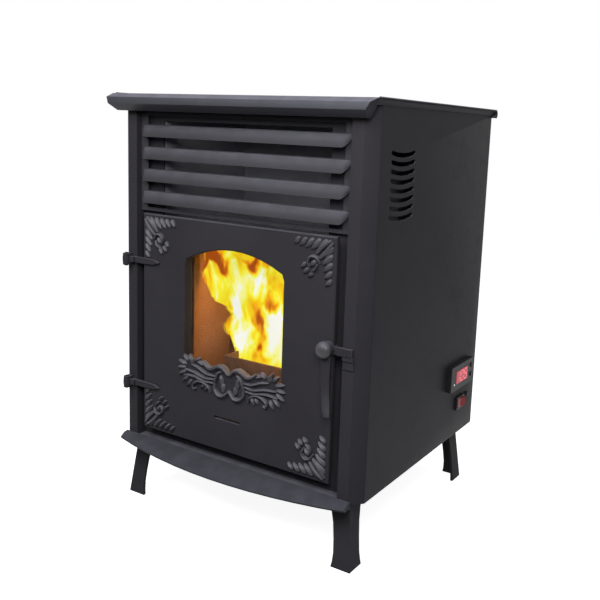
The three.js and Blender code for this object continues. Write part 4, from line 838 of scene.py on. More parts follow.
class Relief:
    """Raised ornament on the door's face, built up in one mesh from leaves and stems."""

    def __init__(self, datum: Datum) -> None:
        """Starts an empty relief on the face of the door."""
        self.datum = datum
        self.bm = bmesh.new()

    def leaf(self, x: float, up: float, length: float, width: float, angle: float, height: float) -> None:
        """Adds a leaf with a raised rib, wide at its root and narrow at its tip.

        Args:
            x: Place of its middle, in millimetres.
            up: Height of its middle.
            length: Its length.
            width: Its width.
            angle: Its direction in degrees, from the right, turning upwards.
            height: How far it stands out.
        """
        made = bmesh.ops.create_uvsphere(self.bm, u_segments=16, v_segments=11, radius=1.0)
        for vert in made["verts"]:
            along, out, across = vert.co.z, vert.co.y, vert.co.x
            taper = 1.0 - 0.38 * along
            rib = 0.72 + 0.28 * (1.0 - min(1.0, abs(across) * 2.2))
            vert.co = Vector((along * length / 2, out * rib * height, across * taper * width / 2))
        turn = Matrix.Rotation(-math.radians(angle), 4, "Y")
        place = Matrix.Translation(self.datum.at(x, 0.0, up)) @ Matrix.Scale(MM, 4) @ turn
        bmesh.ops.transform(self.bm, matrix=place, verts=made["verts"])

    def stem(self, points: list[Point], width: float, height: float, taper: float = 0.6) -> None:
        """Adds a rounded stem or scroll along a curve.

        Args:
            points: The curve's points as (x, up) in millimetres.
            width: Its width at its thickest.
            height: How far it stands out at its thickest.
            taper: How much thinner its ends are.
        """
        path = smooth_path(points)
        steps = len(path) - 1
        matrices = []
        for i, (x, up) in enumerate(path):
            back = path[max(0, i - 1)]
            ahead = path[min(steps, i + 1)]
            along = Vector((ahead[0] - back[0], 0.0, ahead[1] - back[1])).normalized()
            swell = 1.0 - taper + taper * math.sqrt(max(0.02, math.sin(math.pi * i / steps)))
            across = Vector((-along.z, 0.0, along.x)) * (swell * width / 2)
            out = Vector((0.0, -swell * height, 0.0))
            matrix = Matrix((across, out, along)).transposed().to_4x4()
            matrix.translation = Vector((x, 0.0, up))
            matrices.append(matrix)
        made = bmesh.ops.create_circle(self.bm, cap_ends=True, segments=12, radius=1.0, matrix=matrices[0])
        ring = list({edge for vert in made["verts"] for edge in vert.link_edges})
        for before, after in zip(matrices, matrices[1:]):
            grown = bmesh.ops.extrude_edge_only(self.bm, edges=ring)["geom"]
            verts = [item for item in grown if isinstance(item, bmesh.types.BMVert)]
            edges = [item for item in grown if isinstance(item, bmesh.types.BMEdge)]
            ring = [edge for edge in edges if all(vert in verts for vert in edge.verts)]
            bmesh.ops.transform(self.bm, matrix=after @ before.inverted(), verts=verts)
            made["verts"].extend(verts)
        bmesh.ops.contextual_create(self.bm, geom=ring)
        place = Matrix.Translation(self.datum.at(0.0, 0.0, 0.0)) @ Matrix.Scale(MM, 4)
        bmesh.ops.transform(self.bm, matrix=place, verts=made["verts"])


@dataclass
class Workshop:
    """Turns finished meshes into objects that ride on the stove's bodies."""

    finishes: dict[Enum, bpy.types.Material]
    body_of: dict[str, str]
    slot_of: dict[str, Slot]
    made: list[str] = field(default_factory=list)

    @classmethod
    def open(cls, finishes: dict[Enum, Finish], effects: Effects) -> "Workshop":
        """Builds the finishes and reads which body and slot each node has.

        Args:
            finishes: Every finish by its slot or look.
            effects: The shared node groups.

        Returns:
            The workshop.
        """
        record = frame["record"]
        bodies = record["behaviour"]["bodies"]
        body_of = {node: body for body, nodes in bodies.items() for node in nodes}
        slot_of = {row["node"]: Slot(row["material_slot"]) for row in record["subparts"]}
        return cls({key: finish.build(effects) for key, finish in finishes.items()}, body_of, slot_of)

    def dress_nodes(self) -> None:
        """Gives every CAD node the material of its slot."""
        for name, node in frame["nodes"].items():
            for place in node.material_slots:
                place.material = self.finishes[self.slot_of[name]]
        LOG.info("dressed %d nodes", len(frame["nodes"]))

    def deliver(
        self,
        bm: bmesh.types.BMesh,
        name: str,
        body: str,
        finish: Enum,
        replaces: tuple[str, ...] = (),
        smooth: float = 35.0,
        bevel: float = 0.0,
        slot: Slot | None = None,
    ) -> bpy.types.Object:
        """Makes an object of a mesh, dresses it and lets it ride on a body.

        Args:
            bm: The mesh in metres of the shared frame; it is freed.
            name: The object's name.
            body: The body that it moves with.
            finish: The finish that it shows.
            replaces: The CAD nodes that it stands for.
            smooth: Edges sharper than this many degrees stay sharp.
            bevel: Width of the live Bevel modifier in metres, or 0 for none.
            slot: The record's slot, where the finish is not one itself; it is not used.

        Returns:
            The object.
        """
        mesh = bpy.data.meshes.new(name)
        bm.to_mesh(mesh)
        bm.free()
        for face in mesh.polygons:
            face.use_smooth = True
        mesh.set_sharp_from_angle(angle=math.radians(smooth))
        mesh.materials.append(self.finishes[finish])
        made = stand(name, mesh)
        if bevel:
            edge = made.modifiers.new("soft_edges", "BEVEL")
            edge.width = bevel
            edge.segments = 2
            edge.limit_method = "ANGLE"
            edge.angle_limit = SOFT_EDGE
            edge.harden_normals = True
        if replaces:
            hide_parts(*replaces)
        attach(made, body)
        self.made.append(name)
        LOG.info("%s: %d faces on %s", name, len(mesh.polygons), body)
        return made

    @staticmethod
    def merged(node: str) -> bmesh.types.BMesh:
        """Copies a CAD node's mesh, joins its loose triangles and clears its flat edges.

        Args:
            node: The node's name.

        Returns:
            The merged mesh.
        """
        bm = bmesh.new()
        bm.from_mesh(frame["nodes"][node].data)
        bmesh.ops.remove_doubles(bm, verts=bm.verts, dist=WELD)
        bmesh.ops.dissolve_limit(
            bm, angle_limit=FLAT, use_dissolve_boundaries=False, verts=bm.verts, edges=bm.edges
        )
        return bm

    def refine(
        self,
        node: str,
        bevel: float = 0.0005,
        fold: float = 0.0,
        sheet: float = 0.0,
        smooth: float = 35.0,
        finish: Look | None = None,
    ) -> bpy.types.Object:
        """Stands a merged copy with soft edges in a CAD node's place.

        Args:
            node: The node's name.
            bevel: Width of the live bevel on its edges.
            fold: Width of the rounding along its long folds, or 0 for none.
            sheet: Thickness of the sheet, so that its cut edges are left out of the folds.
            smooth: Edges sharper than this many degrees stay sharp.
            finish: The finish that it shows in place of its slot's.

        Returns:
            The new object.
        """
        bm = self.merged(node)
        if fold:
            self.round_folds(bm, fold, sheet)
        slot = self.slot_of[node]
        name = f"{node}_finished"
        return self.deliver(bm, name, self.body_of[node], finish or slot, (node,), smooth, bevel, slot)

    @staticmethod
    def round_folds(bm: bmesh.types.BMesh, width: float, sheet: float) -> None:
        """Rounds the long folds of a bent sheet and leaves its cut edges alone.

        Args:
            bm: The sheet's mesh.
            width: Width of the rounding.
            sheet: The sheet's thickness.
        """
        folds = []
        for edge in bm.edges:
            if len(edge.link_faces) != 2 or edge.calc_length() < FOLD_LENGTH:
                continue
            narrow = min(face.calc_area() / edge.calc_length() for face in edge.link_faces)
            if narrow > sheet * CUT_EDGE and FOLD_TURN[0] < edge.calc_face_angle(0.0) < FOLD_TURN[1]:
                folds.append(edge)
        bmesh.ops.bevel(
            bm, geom=folds, offset=width, offset_type="OFFSET", affect="EDGES", segments=3, profile=0.5,
            clamp_overlap=True, material=-1,
        )


# ---------------------------------------------------------------- sub-assemblies


@dataclass
class Casing:
    """The folded steel casing: side panels, top, slats, ledge and legs."""

    datum: Datum
    shop: Workshop
    sheet: float = 2.0 * MM
    top_sheet: float = 2.5 * MM
    fold: float = 1.6 * MM
    nose_fold: float = 4.6 * MM
    edge: float = 0.4 * MM
    casting_edge: float = 0.8 * MM
    screw_radius: float = 3.4
    screw_x: float = 236.0
    screw_y: float = 446.0
    screw_ups: tuple[float, ...] = (30.0, 170.0, 310.0, 450.0, 575.0)
    screw_steps: tuple[Point, ...] = ((0.0, 1.2), (0.9, 0.8), (1.3, -0.9))

    def build(self) -> None:
        """Dresses every sheet and casting of the casing."""
        for node in ("left_side_panel", "right_side_panel"):
            self.shop.refine(node, self.edge, self.fold, self.sheet)
        # The top plate shows a lighter copy of the casing paint: painted light from above, and painted shade
        # on its sides.
        self.shop.refine("top_plate", self.edge, self.nose_fold, self.top_sheet, 60.0, Look.LIT_TOP_PAINT)
        self.shop.refine("convection_duct", self.edge, finish=Look.DUCT_PRIMER)
        # The louvre shows a lighter copy of the casing paint: painted light on its slats.
        self.shop.refine("louvre_panel", 0.5 * MM, finish=Look.LIT_LOUVRE_PAINT)
        self.shop.refine("hopper_lid", 0.6 * MM)
        # The ledge shows a bluer copy of the casing paint with less painted top light: painted shade.
        self.shop.refine("ash_ledge", self.casting_edge, finish=Look.SHADED_LEDGE_PAINT)
        for node in ("leg_front_left", "leg_front_right", "leg_back_left", "leg_back_right"):
            self.shop.refine(node, self.casting_edge)
        self.back_screws()

    def back_screws(self) -> None:
        """Puts a row of pan-head screws down both edges of the back panel."""
        bm = bmesh.new()
        for x in (-self.screw_x, self.screw_x):
            for up in self.screw_ups:
                self.screw(bm, self.datum.at(x, self.screw_y, up))
        self.shop.deliver(bm, "back_panel_screws", "casing", Slot.BARE_STEEL)

    def screw(self, bm: bmesh.types.BMesh, place: Vector) -> None:
        """Adds one round screw head with a hollow in its middle, facing the back.

        Args:
            bm: The mesh that the screw goes into.
            place: The middle of its head's seat.
        """
        spot = Matrix.Translation(place) @ Matrix.Rotation(math.radians(-90), 4, "X")
        radius = self.screw_radius * MM
        disc = bmesh.ops.create_circle(bm, cap_ends=True, segments=14, radius=radius, matrix=spot)
        face = next(iter(disc["verts"][0].link_faces))
        if face.normal.y < 0:
            bmesh.ops.reverse_faces(bm, faces=[face])
        for inset, rise in self.screw_steps:
            if inset:
                bmesh.ops.inset_region(bm, faces=[face], thickness=inset * MM, use_even_offset=True)
            grown = bmesh.ops.extrude_face_region(bm, geom=[face])["geom"]
            bmesh.ops.delete(bm, geom=[face], context="FACES_ONLY")
            face = next(item for item in grown if isinstance(item, bmesh.types.BMFace))
            bmesh.ops.translate(bm, verts=list(face.verts), vec=(0.0, rise * MM, 0.0))


@dataclass
class CastDoor:
    """The cast door: its plate, the corner castings and the cartouche under the window."""

    datum: Datum
    shop: Workshop
    half: float = 198.4
    bottom: float = 23.0
    top: float = 412.0
    relief: float = 5.4
    margin: float = 4.0
    feathers: int = 5
    feather_pitch: float = 11.5
    leaf_growth: Point = (1.04, 1.08)

    def build(self) -> None:
        """Dresses the door and builds its ornament."""
        self.shop.refine("door", 0.0, smooth=1.0)
        for node in ("upper_hinge_strap", "lower_hinge_strap", "upper_hinge_bracket", "lower_hinge_bracket"):
            self.shop.refine(node, 0.6 * MM)
        for node in ("left_glass_retainer", "right_glass_retainer"):
            self.shop.refine(node, 0.3 * MM, finish=Look.SMOKED_STEEL)
        relief = Relief(self.datum)
        for side in (-1, 1):
            for level in (-1, 1):
                self.corner(relief, side, level)
        # The ornament shows a lighter copy of the cast iron: painted highlight.
        look = {"finish": Look.LIT_RAISED_CASTING, "slot": Slot.CAST_BLACK, "smooth": 50.0}
        self.shop.deliver(relief.bm, "door_corner_castings", "door", **look)
        shell = Relief(self.datum)
        for side in (-1, 1):
            self.cartouche(shell, side)
        self.shop.deliver(shell.bm, "door_cartouche", "door", **look)

    def corner(self, relief: Relief, side: int, level: int) -> None:
        """Adds one corner casting: feathers along both edges, a double stem, a scroll and buds.

        Args:
            relief: The relief that it goes into.
            side: -1 for the left, 1 for the right.
            level: 1 for the top, -1 for the bottom.
        """
        corner_x = side * (self.half - self.margin)
        corner_up = self.top - self.margin if level > 0 else self.bottom + self.margin

        def at(a: float, b: float) -> Point:
            """Measures from the corner along and down its two edges."""
            return corner_x - side * a, corner_up - level * b

        def turn(angle: float) -> float:
            """Turns a direction of the first corner into this corner's."""
            return (180 - angle if side > 0 else angle) * (-1 if level > 0 else 1)

        high = self.relief
        for i in range(self.feathers):
            reach = 21 + i * self.feather_pitch
            length = 28 - i * 3
            width = 11 - i * 0.7
            inset = 12 - i
            relief.leaf(*at(reach, inset), length, width, turn(47), high)
            relief.leaf(*at(inset, reach), length, width, turn(43), high)
        relief.stem([at(2, 5), at(13, 20), at(26, 32)], 8.4, high * 1.15)
        relief.stem([at(5, 2), at(20, 13), at(32, 26)], 8.4, high * 1.15)
        relief.stem([at(24, 39), at(30, 30), at(40, 30), at(45, 38), at(41, 46)], 5.4, high * 1.3)
        relief.leaf(*at(36, 40), 14.5, 9.6, turn(45), high + 0.7)
        relief.stem([at(28, 40), at(32, 48), at(40, 54)], 5, high * 1.15)
        for a, b in ((54, 45), (49, 53), (40, 58)):
            relief.leaf(*at(a, b), 13.5, 7.6, turn(45), high + 0.6)

    def cartouche(self, relief: Relief, side: int) -> None:
        """Adds one half of the cartouche: a crested shell with stems, leaf fingers and a low scroll.

        Args:
            relief: The relief that it goes into.
            side: -1 for the left half, 1 for the right.
        """
        high = self.relief

        def to(points: list[Point]) -> list[Point]:
            """Puts the drawn half's points on this side."""
            return [(side * x, up) for x, up in points]

        crest = [(-0.5, 160), (3, 161), (10, 168), (20, 171), (30, 167), (39, 163), (48, 166), (57, 173)]
        rim = [(-0.5, 133), (5, 127), (13, 121), (23, 122), (30, 130), (31, 141)]
        flank = [(31, 141), (28, 150), (24, 158), (16, 163)]
        relief.stem(to(crest), 7.5, high * 1.35, 0.45)
        relief.stem(to(rim), 7.0, high * 1.3, 0.4)
        relief.stem(to(flank), 6.0, high * 1.2, 0.4)
        for stem in (
            [(30, 152), (48, 153), (66, 160), (82, 163)],
            [(31, 146), (52, 145), (74, 150), (98, 152)],
            [(34, 139), (54, 139), (76, 143), (100, 141)],
        ):
            relief.stem(to(stem), 5.2, high * 1.15, 0.5)
        scroll = [(40, 121), (44, 130), (54, 136), (67, 136), (78, 129), (77, 121), (71, 123)]
        relief.stem(to(scroll), 5.4, high * 1.2, 0.5)
        for x, up, length, width, angle in (
            (62, 169, 17, 7, 20), (70, 173, 14, 7, -30), (84, 172, 18, 9, 65), (95, 172, 16, 8, 40),
            (103, 163, 20, 8, 15), (105, 154, 18, 7, -5), (104, 144, 20, 7, -28), (97, 134, 20, 7, -42),
            (88, 128, 18, 7, -55), (50, 126, 15, 6, -60), (58, 128, 13, 6, -50), (13, 134, 19, 10, -100),
            (17, 148, 18, 10, 80),
        ):
            turned = angle if side > 0 else 180 - angle
            grown = (length * self.leaf_growth[0], width * self.leaf_growth[1])
            relief.leaf(side * x, up, *grown, turned, high + 0.4)


@dataclass
class Handle:
    """The turning handle with its latch."""

    shop: Workshop

    def build(self) -> None:
        """Softens the edges of the handle's castings."""
        # The spindle shows a lighter copy of the cast iron: painted highlight.
        self.shop.refine("handle_spindle", 0.5 * MM, smooth=40.0, finish=Look.LIT_RAISED_CASTING)
        for node in ("latch_arm", "handle_lever", "latch_keeper"):
            self.shop.refine(node, 0.6 * MM, smooth=40.0)


@dataclass
class Fire:
    """The fire: veils of flame over the burn pot, and the glowing pellets in it."""

    datum: Datum
    shop: Workshop
    pot_half: float = 52.0
    pot_front: float = 66.0
    pot_back: float = 144.0
    depth: float = 100.0
    rows: int = 64
    columns: int = 30
    pellet_rows: int = 7
    pellet_columns: int = 10
    pellet_radii: Point = (3.4, 3.1)
    pellet_length: float = 15.0
    pellet_turn: float = 6.0
    pellet_lean: float = 1.2
    bed: float = 118.0
    heap: float = 26.0
    cross_x: float = 8.0
    ripple: Place = (0.02, 0.012, 3.0)
    glow: Colour = (1.0, 0.42, 0.10)
    lights: tuple[tuple[str, Place, float, float], ...] = (
        ("fire_light", (-50.0, 122.0, 285.0), 1.1, 0.05),
        ("ember_light", (0.0, 112.0, 196.0), 0.3, 0.03),
        ("window_glow", (62.0, 48.0, 250.0), 0.4, 0.03),
    )

    def build(self) -> None:
        """Builds the flames and the ember bed, and the light they give."""
        left = [
            (150, -68), (157, -69), (170, -71), (187, -79), (200, -94), (211, -97), (221, -90), (233, -83),
            (240, -95), (246, -93), (250, -124), (260, -134), (276, -142), (289, -153), (305, -159),
            (314, -153), (328, -150), (342, -146), (358, -138),
        ]
        right = [(150, 58), (180, 66), (215, 78), (250, 72), (285, 84), (320, 70), (358, 36)]
        self.veil("flame_front", left, right, 10.0)
        near = [(150, 2), (230, 6), (350, 4)]
        far = [(150, 38), (200, 34), (290, 40), (350, 16)]
        self.veil("flame_cross", near, far, 5.0, True)
        self.embers()
        self.firelight()

    def grid(self, name: str) -> tuple[bmesh.types.BMesh, list[tuple[bmesh.types.BMVert, float, float]]]:
        """Starts a grid with a UV map.

        Args:
            name: The UV map's name.

        Returns:
            The mesh, and each vertex with its place across and along, from 0 to 1.
        """
        bm = bmesh.new()
        bm.loops.layers.uv.new(name)
        made = bmesh.ops.create_grid(
            bm, x_segments=self.columns, y_segments=self.rows, size=0.5, calc_uvs=True
        )
        return bm, [(vert, vert.co.x + 0.5, vert.co.y + 0.5) for vert in made["verts"]]

    @staticmethod
    def along(table: list[Point], place: float) -> float:
        """Reads a table of (place, value) rows with straight lines between them."""
        for (low, first), (high, second) in zip(table, table[1:]):
            if place <= high:
                share = max(0.0, (place - low) / (high - low))
                return first + (second - first) * share
        return table[-1][1]

    def veil(
        self, name: str, left: list[Point], right: list[Point], wave: float, crossing: bool = False
    ) -> None:
        """Builds an upright sheet of flame between two side lines.

        Args:
            name: The piece's name.
            left: Its left side as (up, place) rows.
            right: Its right side as (up, place) rows.
            wave: How far it waves to and fro.
            crossing: Whether it runs from the front to the back, behind the other sheet.
        """
        bm, cells = self.grid(name)
        low, high = left[0][0], left[-1][0]
        for vert, u, v in cells:
            up = low + (high - low) * v
            across = self.along(left, up) * (1 - u) + self.along(right, up) * u
            spot = Vector((across * self.ripple[0], up * self.ripple[1], self.ripple[2]))
            sway = noise.noise(spot) * wave - wave * math.sin(math.pi * u)
            if crossing:
                vert.co = self.datum.at(self.cross_x + sway, self.depth + across, up)
            else:
                vert.co = self.datum.at(across, self.depth + sway, up)
        self.shop.deliver(bm, name, "casing", Look.FLAME, smooth=180.0)

    def embers(self) -> None:
        """Fills the burn pot with a heap of glowing pellets."""
        bm = bmesh.new()
        thick, thin = (radius * MM for radius in self.pellet_radii)
        for row in range(self.pellet_rows):
            for column in range(self.pellet_columns):
                share_x = (column + 0.5) / self.pellet_columns
                share_y = (row + 0.5) / self.pellet_rows
                x = -self.pot_half + 2 * self.pot_half * share_x
                y = self.pot_front + (self.pot_back - self.pot_front) * share_y
                heap = self.heap * math.sin(math.pi * share_x) * math.sin(math.pi * share_y)
                seed = Vector((column * 1.7, row * 2.3, 0.5))
                turn = Matrix.Rotation(noise.noise(seed) * self.pellet_turn, 4, "Z")
                lean = math.pi / 2 + noise.noise(seed + Vector((5.0, 0.0, 0.0))) * self.pellet_lean
                place = Matrix.Translation(self.datum.at(x, y, self.bed + heap))
                bmesh.ops.create_cone(
                    bm, cap_ends=True, segments=8, radius1=thick, radius2=thin, depth=self.pellet_length * MM,
                    matrix=place @ turn @ Matrix.Rotation(lean, 4, "X"),
                )
        self.shop.deliver(bm, "burning_pellets", "casing", Look.EMBERS, smooth=50.0)

    def firelight(self) -> None:
        """Adds the warm light of the fire inside the chamber."""
        for name, place, energy, radius in self.lights:
            light = bpy.data.lights.new(name, "POINT")
            light.energy = energy
            light.color = self.glow
            light.shadow_soft_size = radius
            stand(name, light, Matrix.Translation(self.datum.at(*place)))


@dataclass
class Controls:
    """The controller on the right side with its lit number, lamp, buttons and red switch."""

    shop: Workshop
    number: str = "105"
    lean: float = 0.10
    digit_width: float = 12.6 * MM
    digit_height: float = 19.0 * MM
    digit_pitch: float = 16.6 * MM
    bar: float = 1.1 * MM
    lens_gap: float = 0.06 * MM
    bar_depth: float = 0.12 * MM
    bar_shares: Point = (0.42, 0.21)
    lamp_place: Place = (-0.4 * MM, -8 * MM, 1 * MM)
    lamp_size: Place = (1.2 * MM, 1.9 * MM, 1.9 * MM)

    SEGMENTS = {
        "0": "abcdef", "1": "bc", "2": "abged", "3": "abgcd", "4": "fgbc",
        "5": "afgcd", "6": "afgedc", "7": "abc", "8": "abcdefg", "9": "abcdfg",
    }
    BARS = {
        "a": (0.5, 1.0, True), "g": (0.5, 0.5, True), "d": (0.5, 0.0, True),
        "f": (0.0, 0.75, False), "b": (1.0, 0.75, False), "e": (0.0, 0.25, False), "c": (1.0, 0.25, False),
    }

    def build(self) -> None:
        """Dresses the controls and lights the number."""
        self.shop.refine("control_box", 0.7 * MM)
        for node in ("plus_button", "minus_button", "rocker_frame", "power_rocker", "fuse_cap"):
            self.shop.refine(node, 0.4 * MM, smooth=40.0)
        self.digits()
        self.lamp()

    def digits(self) -> None:
        """Lays flat seven-segment digits on the display window."""
        low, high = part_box("display_window")
        bm = bmesh.new()
        middle_y = (low[1] + high[1]) / 2
        middle_z = (low[2] + high[2]) / 2
        for place, digit in enumerate(self.number):
            start = middle_y + (place - (len(self.number) - 1) / 2) * self.digit_pitch - self.digit_width / 2
            for name in self.SEGMENTS[digit]:
                across, rise, level = self.BARS[name]
                y = start + across * self.digit_width + (rise - 0.5) * self.lean * self.digit_height
                z = middle_z + (rise - 0.5) * self.digit_height
                half = (self.bar, self.digit_height * self.bar_shares[1])
                if level:
                    half = (self.digit_width * self.bar_shares[0], self.bar)
                size = Matrix.Diagonal((self.bar_depth, *half, 1.0))
                matrix = Matrix.Translation((high[0] + self.lens_gap, y, z)) @ size
                made = bmesh.ops.create_cone(
                    bm, cap_ends=True, segments=6, radius1=1.0, radius2=1.0, depth=1.0,
                    matrix=matrix @ Matrix.Rotation(math.pi / 2, 4, "Y"),
                )
                faces = list({face for vert in made["verts"] for face in vert.link_faces})
                bmesh.ops.recalc_face_normals(bm, faces=faces)
        self.shop.deliver(bm, "display_number", "casing", Look.DIGITS)

    def lamp(self) -> None:
        """Adds the small signal lamp at the front lower corner of the controller."""
        low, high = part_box("display_window")
        bm = bmesh.new()
        corner = Vector((high[0], low[1], low[2]))
        place = Matrix.Translation(corner + Vector(self.lamp_place))
        size = Matrix.Diagonal((*self.lamp_size, 1.0))
        bmesh.ops.create_uvsphere(bm, u_segments=14, v_segments=8, radius=1.0, matrix=place @ size)
        self.shop.deliver(bm, "signal_lamp", "casing", Look.LAMP)


# ---------------------------------------------------------------- studio


@dataclass
class Studio:
    """The floor, the light and the camera."""

    centre: Vector
    eye: Vector = field(default_factory=lambda: Vector((0.7887, -1.18809, 0.68649)))
    yaw: float = 31.162
    pitch: float = 9.482
    roll: float = 2.338
    lens: float = 46.53
    shift: Point = (-0.0694, -0.0700)
    daylight: float = 0.10
    floor_tones: Point = (0.08, 0.10)
    shown_tone: float = 0.92
    shown_light: float = 0.91
    softboxes: tuple[tuple[str, Place, float, float], ...] = (
        ("front_light", (-0.22, -1.2, 1.4), 0.74, 12.5),
        ("side_light", (0.7, -1.05, 1.12), 0.6, 11.5),
        ("overhead_light", (0.0, 0.2, 2.2), 0.5, 9.0),
    )

    def build(self) -> None:
        """Sets up the studio."""
        self.camera()
        self.world()
        self.floor()
        for name, place, size, energy in self.softboxes:
            self.softbox(name, Vector(place), size, energy)
        bpy.context.scene.view_settings.view_transform = "Standard"

    def camera(self) -> None:
        """Stands the camera where the photograph was taken from."""
        yaw, pitch, roll = (math.radians(angle) for angle in (self.yaw, self.pitch, self.roll))
        ahead = Vector((-math.sin(yaw) * math.cos(pitch), math.cos(yaw) * math.cos(pitch), -math.sin(pitch)))
        right = ahead.cross(Vector((0.0, 0.0, 1.0))).normalized()
        up = right.cross(ahead)
        across = right * math.cos(roll) + up * math.sin(roll)
        upward = up * math.cos(roll) - right * math.sin(roll)
        matrix = Matrix((across, upward, -ahead)).transposed().to_4x4()
        matrix.translation = self.eye
        data = bpy.data.cameras.new("camera")
        data.lens = self.lens
        data.sensor_width = 36.0
        data.shift_x, data.shift_y = self.shift
        bpy.context.scene.camera = stand("camera", data, matrix)

    @staticmethod
    def seen(graph: Graph) -> Socket:
        """Gives 1 for rays that show the backdrop: camera, glossy and transmission rays."""
        path = graph.add("ShaderNodeLightPath")
        shown = graph.maths("MAXIMUM", path.outputs["Is Camera Ray"], path.outputs["Is Glossy Ray"])
        return graph.maths("MAXIMUM", shown, path.outputs["Is Transmission Ray"])

    def world(self) -> None:
        """Makes the backdrop white and keeps its light on the stove plain."""
        world = bpy.data.worlds.new("studio")
        bpy.context.scene.world = world
        graph = empty_graph(world)
        plain = graph.add("ShaderNodeBackground", {"Color": WHITE, "Strength": self.daylight})
        white = graph.add("ShaderNodeBackground", {"Color": WHITE, "Strength": 1.0})
        shaders = {0: self.seen(graph), 1: plain.outputs[0], 2: white.outputs[0]}
        mixed = graph.add("ShaderNodeMixShader", shaders)
        graph.add("ShaderNodeOutputWorld", {"Surface": mixed.outputs[0]})

    def floor(self) -> None:
        """Lays the pale floor, which shows white and keeps a soft shadow."""
        bm = bmesh.new()
        spot = Matrix.Translation((self.centre.x, self.centre.y, -0.0004))
        bmesh.ops.create_grid(bm, x_segments=8, y_segments=8, size=9.0, matrix=spot)
        mesh = bpy.data.meshes.new("studio_floor")
        bm.to_mesh(mesh)
        bm.free()
        made = stand("studio_floor", mesh)
        material = bpy.data.materials.new("studio_floor")
        graph = empty_graph(material)
        dark, light, shown = ((tone, tone, tone) for tone in (*self.floor_tones, self.shown_tone))
        cloud = graph.spread(graph.noise(graph.coords(), 2.0, 3.0), 0.3, 0.7)
        matt = graph.add("ShaderNodeBsdfDiffuse", {"Color": graph.mix(cloud, dark, light)})
        pale = graph.add("ShaderNodeBsdfDiffuse", {"Color": (*shown, 1.0)})
        bright = graph.add("ShaderNodeEmission", {"Color": WHITE, "Strength": self.shown_light})
        backdrop = graph.add("ShaderNodeAddShader", {0: pale.outputs[0], 1: bright.outputs[0]})
        shaders = {0: self.seen(graph), 1: matt.outputs[0], 2: backdrop.outputs[0]}
        mixed = graph.add("ShaderNodeMixShader", shaders)
        graph.add("ShaderNodeOutputMaterial", {"Surface": mixed.outputs[0]})
        mesh.materials.append(material)

    def softbox(self, name: str, place: Vector, size: float, energy: float) -> None:
        """Hangs a square softbox that faces the stove.

        Args:
            name: The lamp's name.
            place: Where it hangs.
            size: The length of its side in metres.
            energy: Its power in watts.
        """
        light = bpy.data.lights.new(name, "AREA")
        light.size = size
        light.energy = energy
        aim = (self.centre - place).to_track_quat("-Z", "Y").to_matrix().to_4x4()
        stand(name, light, Matrix.Translation(place) @ aim)


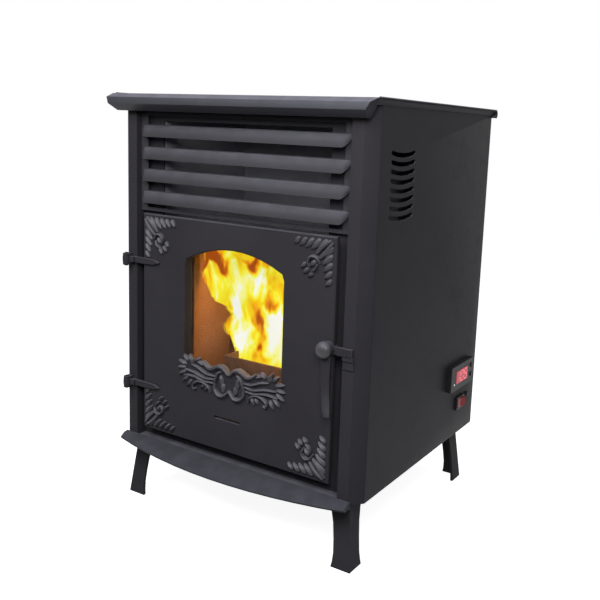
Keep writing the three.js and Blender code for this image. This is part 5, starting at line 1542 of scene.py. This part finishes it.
def stove_finishes(datum: Datum) -> dict[Enum, Finish]:
    """Lists every finish of the stove by its slot or look.

    Args:
        datum: The drawing's places.

    Returns:
        The finishes.
    """
    low = datum.at(0, 0, 150).z
    high = datum.at(0, 0, 420).z
    return {
        Slot.CASING_PAINT: CoatedMetal("stove_paint", (0.034, 0.032, 0.038), (0.038, 0.036, 0.042)),
        # The top plate's paint is a lighter copy of the casing paint: painted light from above, with painted
        # shade on its sideways faces.
        Look.LIT_TOP_PAINT: CoatedMetal(
            "top_paint_painted_light", (0.052, 0.052, 0.062), (0.060, 0.060, 0.072), dust_and_top_light=0.46, painted_side_shade=0.9
        ),
        Look.DUCT_PRIMER: CoatedMetal("duct_primer", (0.24, 0.24, 0.27), (0.30, 0.30, 0.33), dust_and_top_light=0.1),
        # The louvre's paint is a lighter copy of the casing paint: painted light on the slats.
        Look.LIT_LOUVRE_PAINT: CoatedMetal("louvre_paint_painted_light", (0.044, 0.043, 0.049), (0.052, 0.051, 0.059), dust_and_top_light=0.3),
        # The ledge's paint is a bluer copy of the casing paint with less dust and so less painted top light:
        # painted shade on the ledge.
        Look.SHADED_LEDGE_PAINT: CoatedMetal("ledge_paint_painted_shade", (0.032, 0.033, 0.041), (0.038, 0.039, 0.048), dust_and_top_light=0.2),
        Slot.CAST_BLACK: CoatedMetal(
            "cast_iron", (0.033, 0.031, 0.036), (0.040, 0.038, 0.044),
            roughness=0.48, grain=520.0, grain_depth=0.00014, sharpness=0.7, dust_and_top_light=0.3,
        ),
        # A lighter, glossier copy of the cast iron: painted highlight on the raised ornament and the handle's
        # spindle.
        Look.LIT_RAISED_CASTING: CoatedMetal(
            "raised_casting_painted_highlight", (0.036, 0.034, 0.040), (0.050, 0.048, 0.055),
            roughness=0.32, grain=520.0, grain_depth=0.0001, sharpness=0.5, dust_and_top_light=0.4, specular=0.25,
        ),
        Slot.MOTOR_BLACK: CoatedMetal(
            "motor_enamel", (0.022, 0.022, 0.024), (0.030, 0.030, 0.033),
            roughness=0.32, grain=700.0, grain_depth=0.00008,
        ),
        Slot.BARE_STEEL: BareMetal("bare_steel", (0.42, 0.42, 0.43), (0.56, 0.56, 0.57), 0.28),
        Slot.GALVANISED: BareMetal("zinc_sheet", (0.44, 0.46, 0.47), (0.58, 0.60, 0.61), 0.36, crystals=70.0),
        Slot.FIRED_STEEL: FiredSurface("fired_steel", (0.27, 0.13, 0.065), (0.15, 0.075, 0.045), low, high),
        Look.SMOKED_STEEL: FiredSurface(
            "smoked_steel", (0.30, 0.15, 0.08), (0.16, 0.08, 0.05), low, high, 0.5
        ),
        Slot.BRICK: FiredSurface(
            "fire_board", (0.30, 0.19, 0.11), (0.21, 0.125, 0.07),
            soot_low=low + 0.1, soot_high=high + 0.2, roughness=0.8, blots=0.3,
        ),
        Slot.ROPE: WovenRope("gasket_rope", (0.05, 0.05, 0.05), (0.20, 0.20, 0.19)),
        Slot.FIRE_GLASS: FireGlass("fire_glass"),
        Slot.BLACK_PLASTIC: MouldedPlastic("black_plastic", (0.016, 0.015, 0.017), (0.022, 0.021, 0.023)),
        Slot.RED_PLASTIC: MouldedPlastic("red_plastic", (0.38, 0.02, 0.02), (0.52, 0.04, 0.035), 0.28),
        Slot.RED_DISPLAY: Signal("display_lens", (0.34, 0.008, 0.02), 0.8),
        Look.FLAME: Flame("flame", datum),
        Look.EMBERS: Embers("embers"),
        Look.DIGITS: Signal("display_digits", (1.0, 0.10, 0.16), 1.2),
        Look.LAMP: Signal("signal_lamp", (0.8, 0.85, 0.85), 0.6),
    }


def main() -> None:
    """Builds the stove's looks and its studio."""
    logging.basicConfig(level=logging.INFO)
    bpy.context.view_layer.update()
    datum = Datum.from_frame()
    shop = Workshop.open(stove_finishes(datum), Effects())
    shop.dress_nodes()
    Casing(datum, shop).build()
    CastDoor(datum, shop).build()
    Handle(shop).build()
    Fire(datum, shop).build()
    Controls(shop).build()
    Studio(datum.at(0, 220, 280)).build()
    LOG.info("%d new pieces", len(shop.made))


if __name__ == "__main__":
    main()
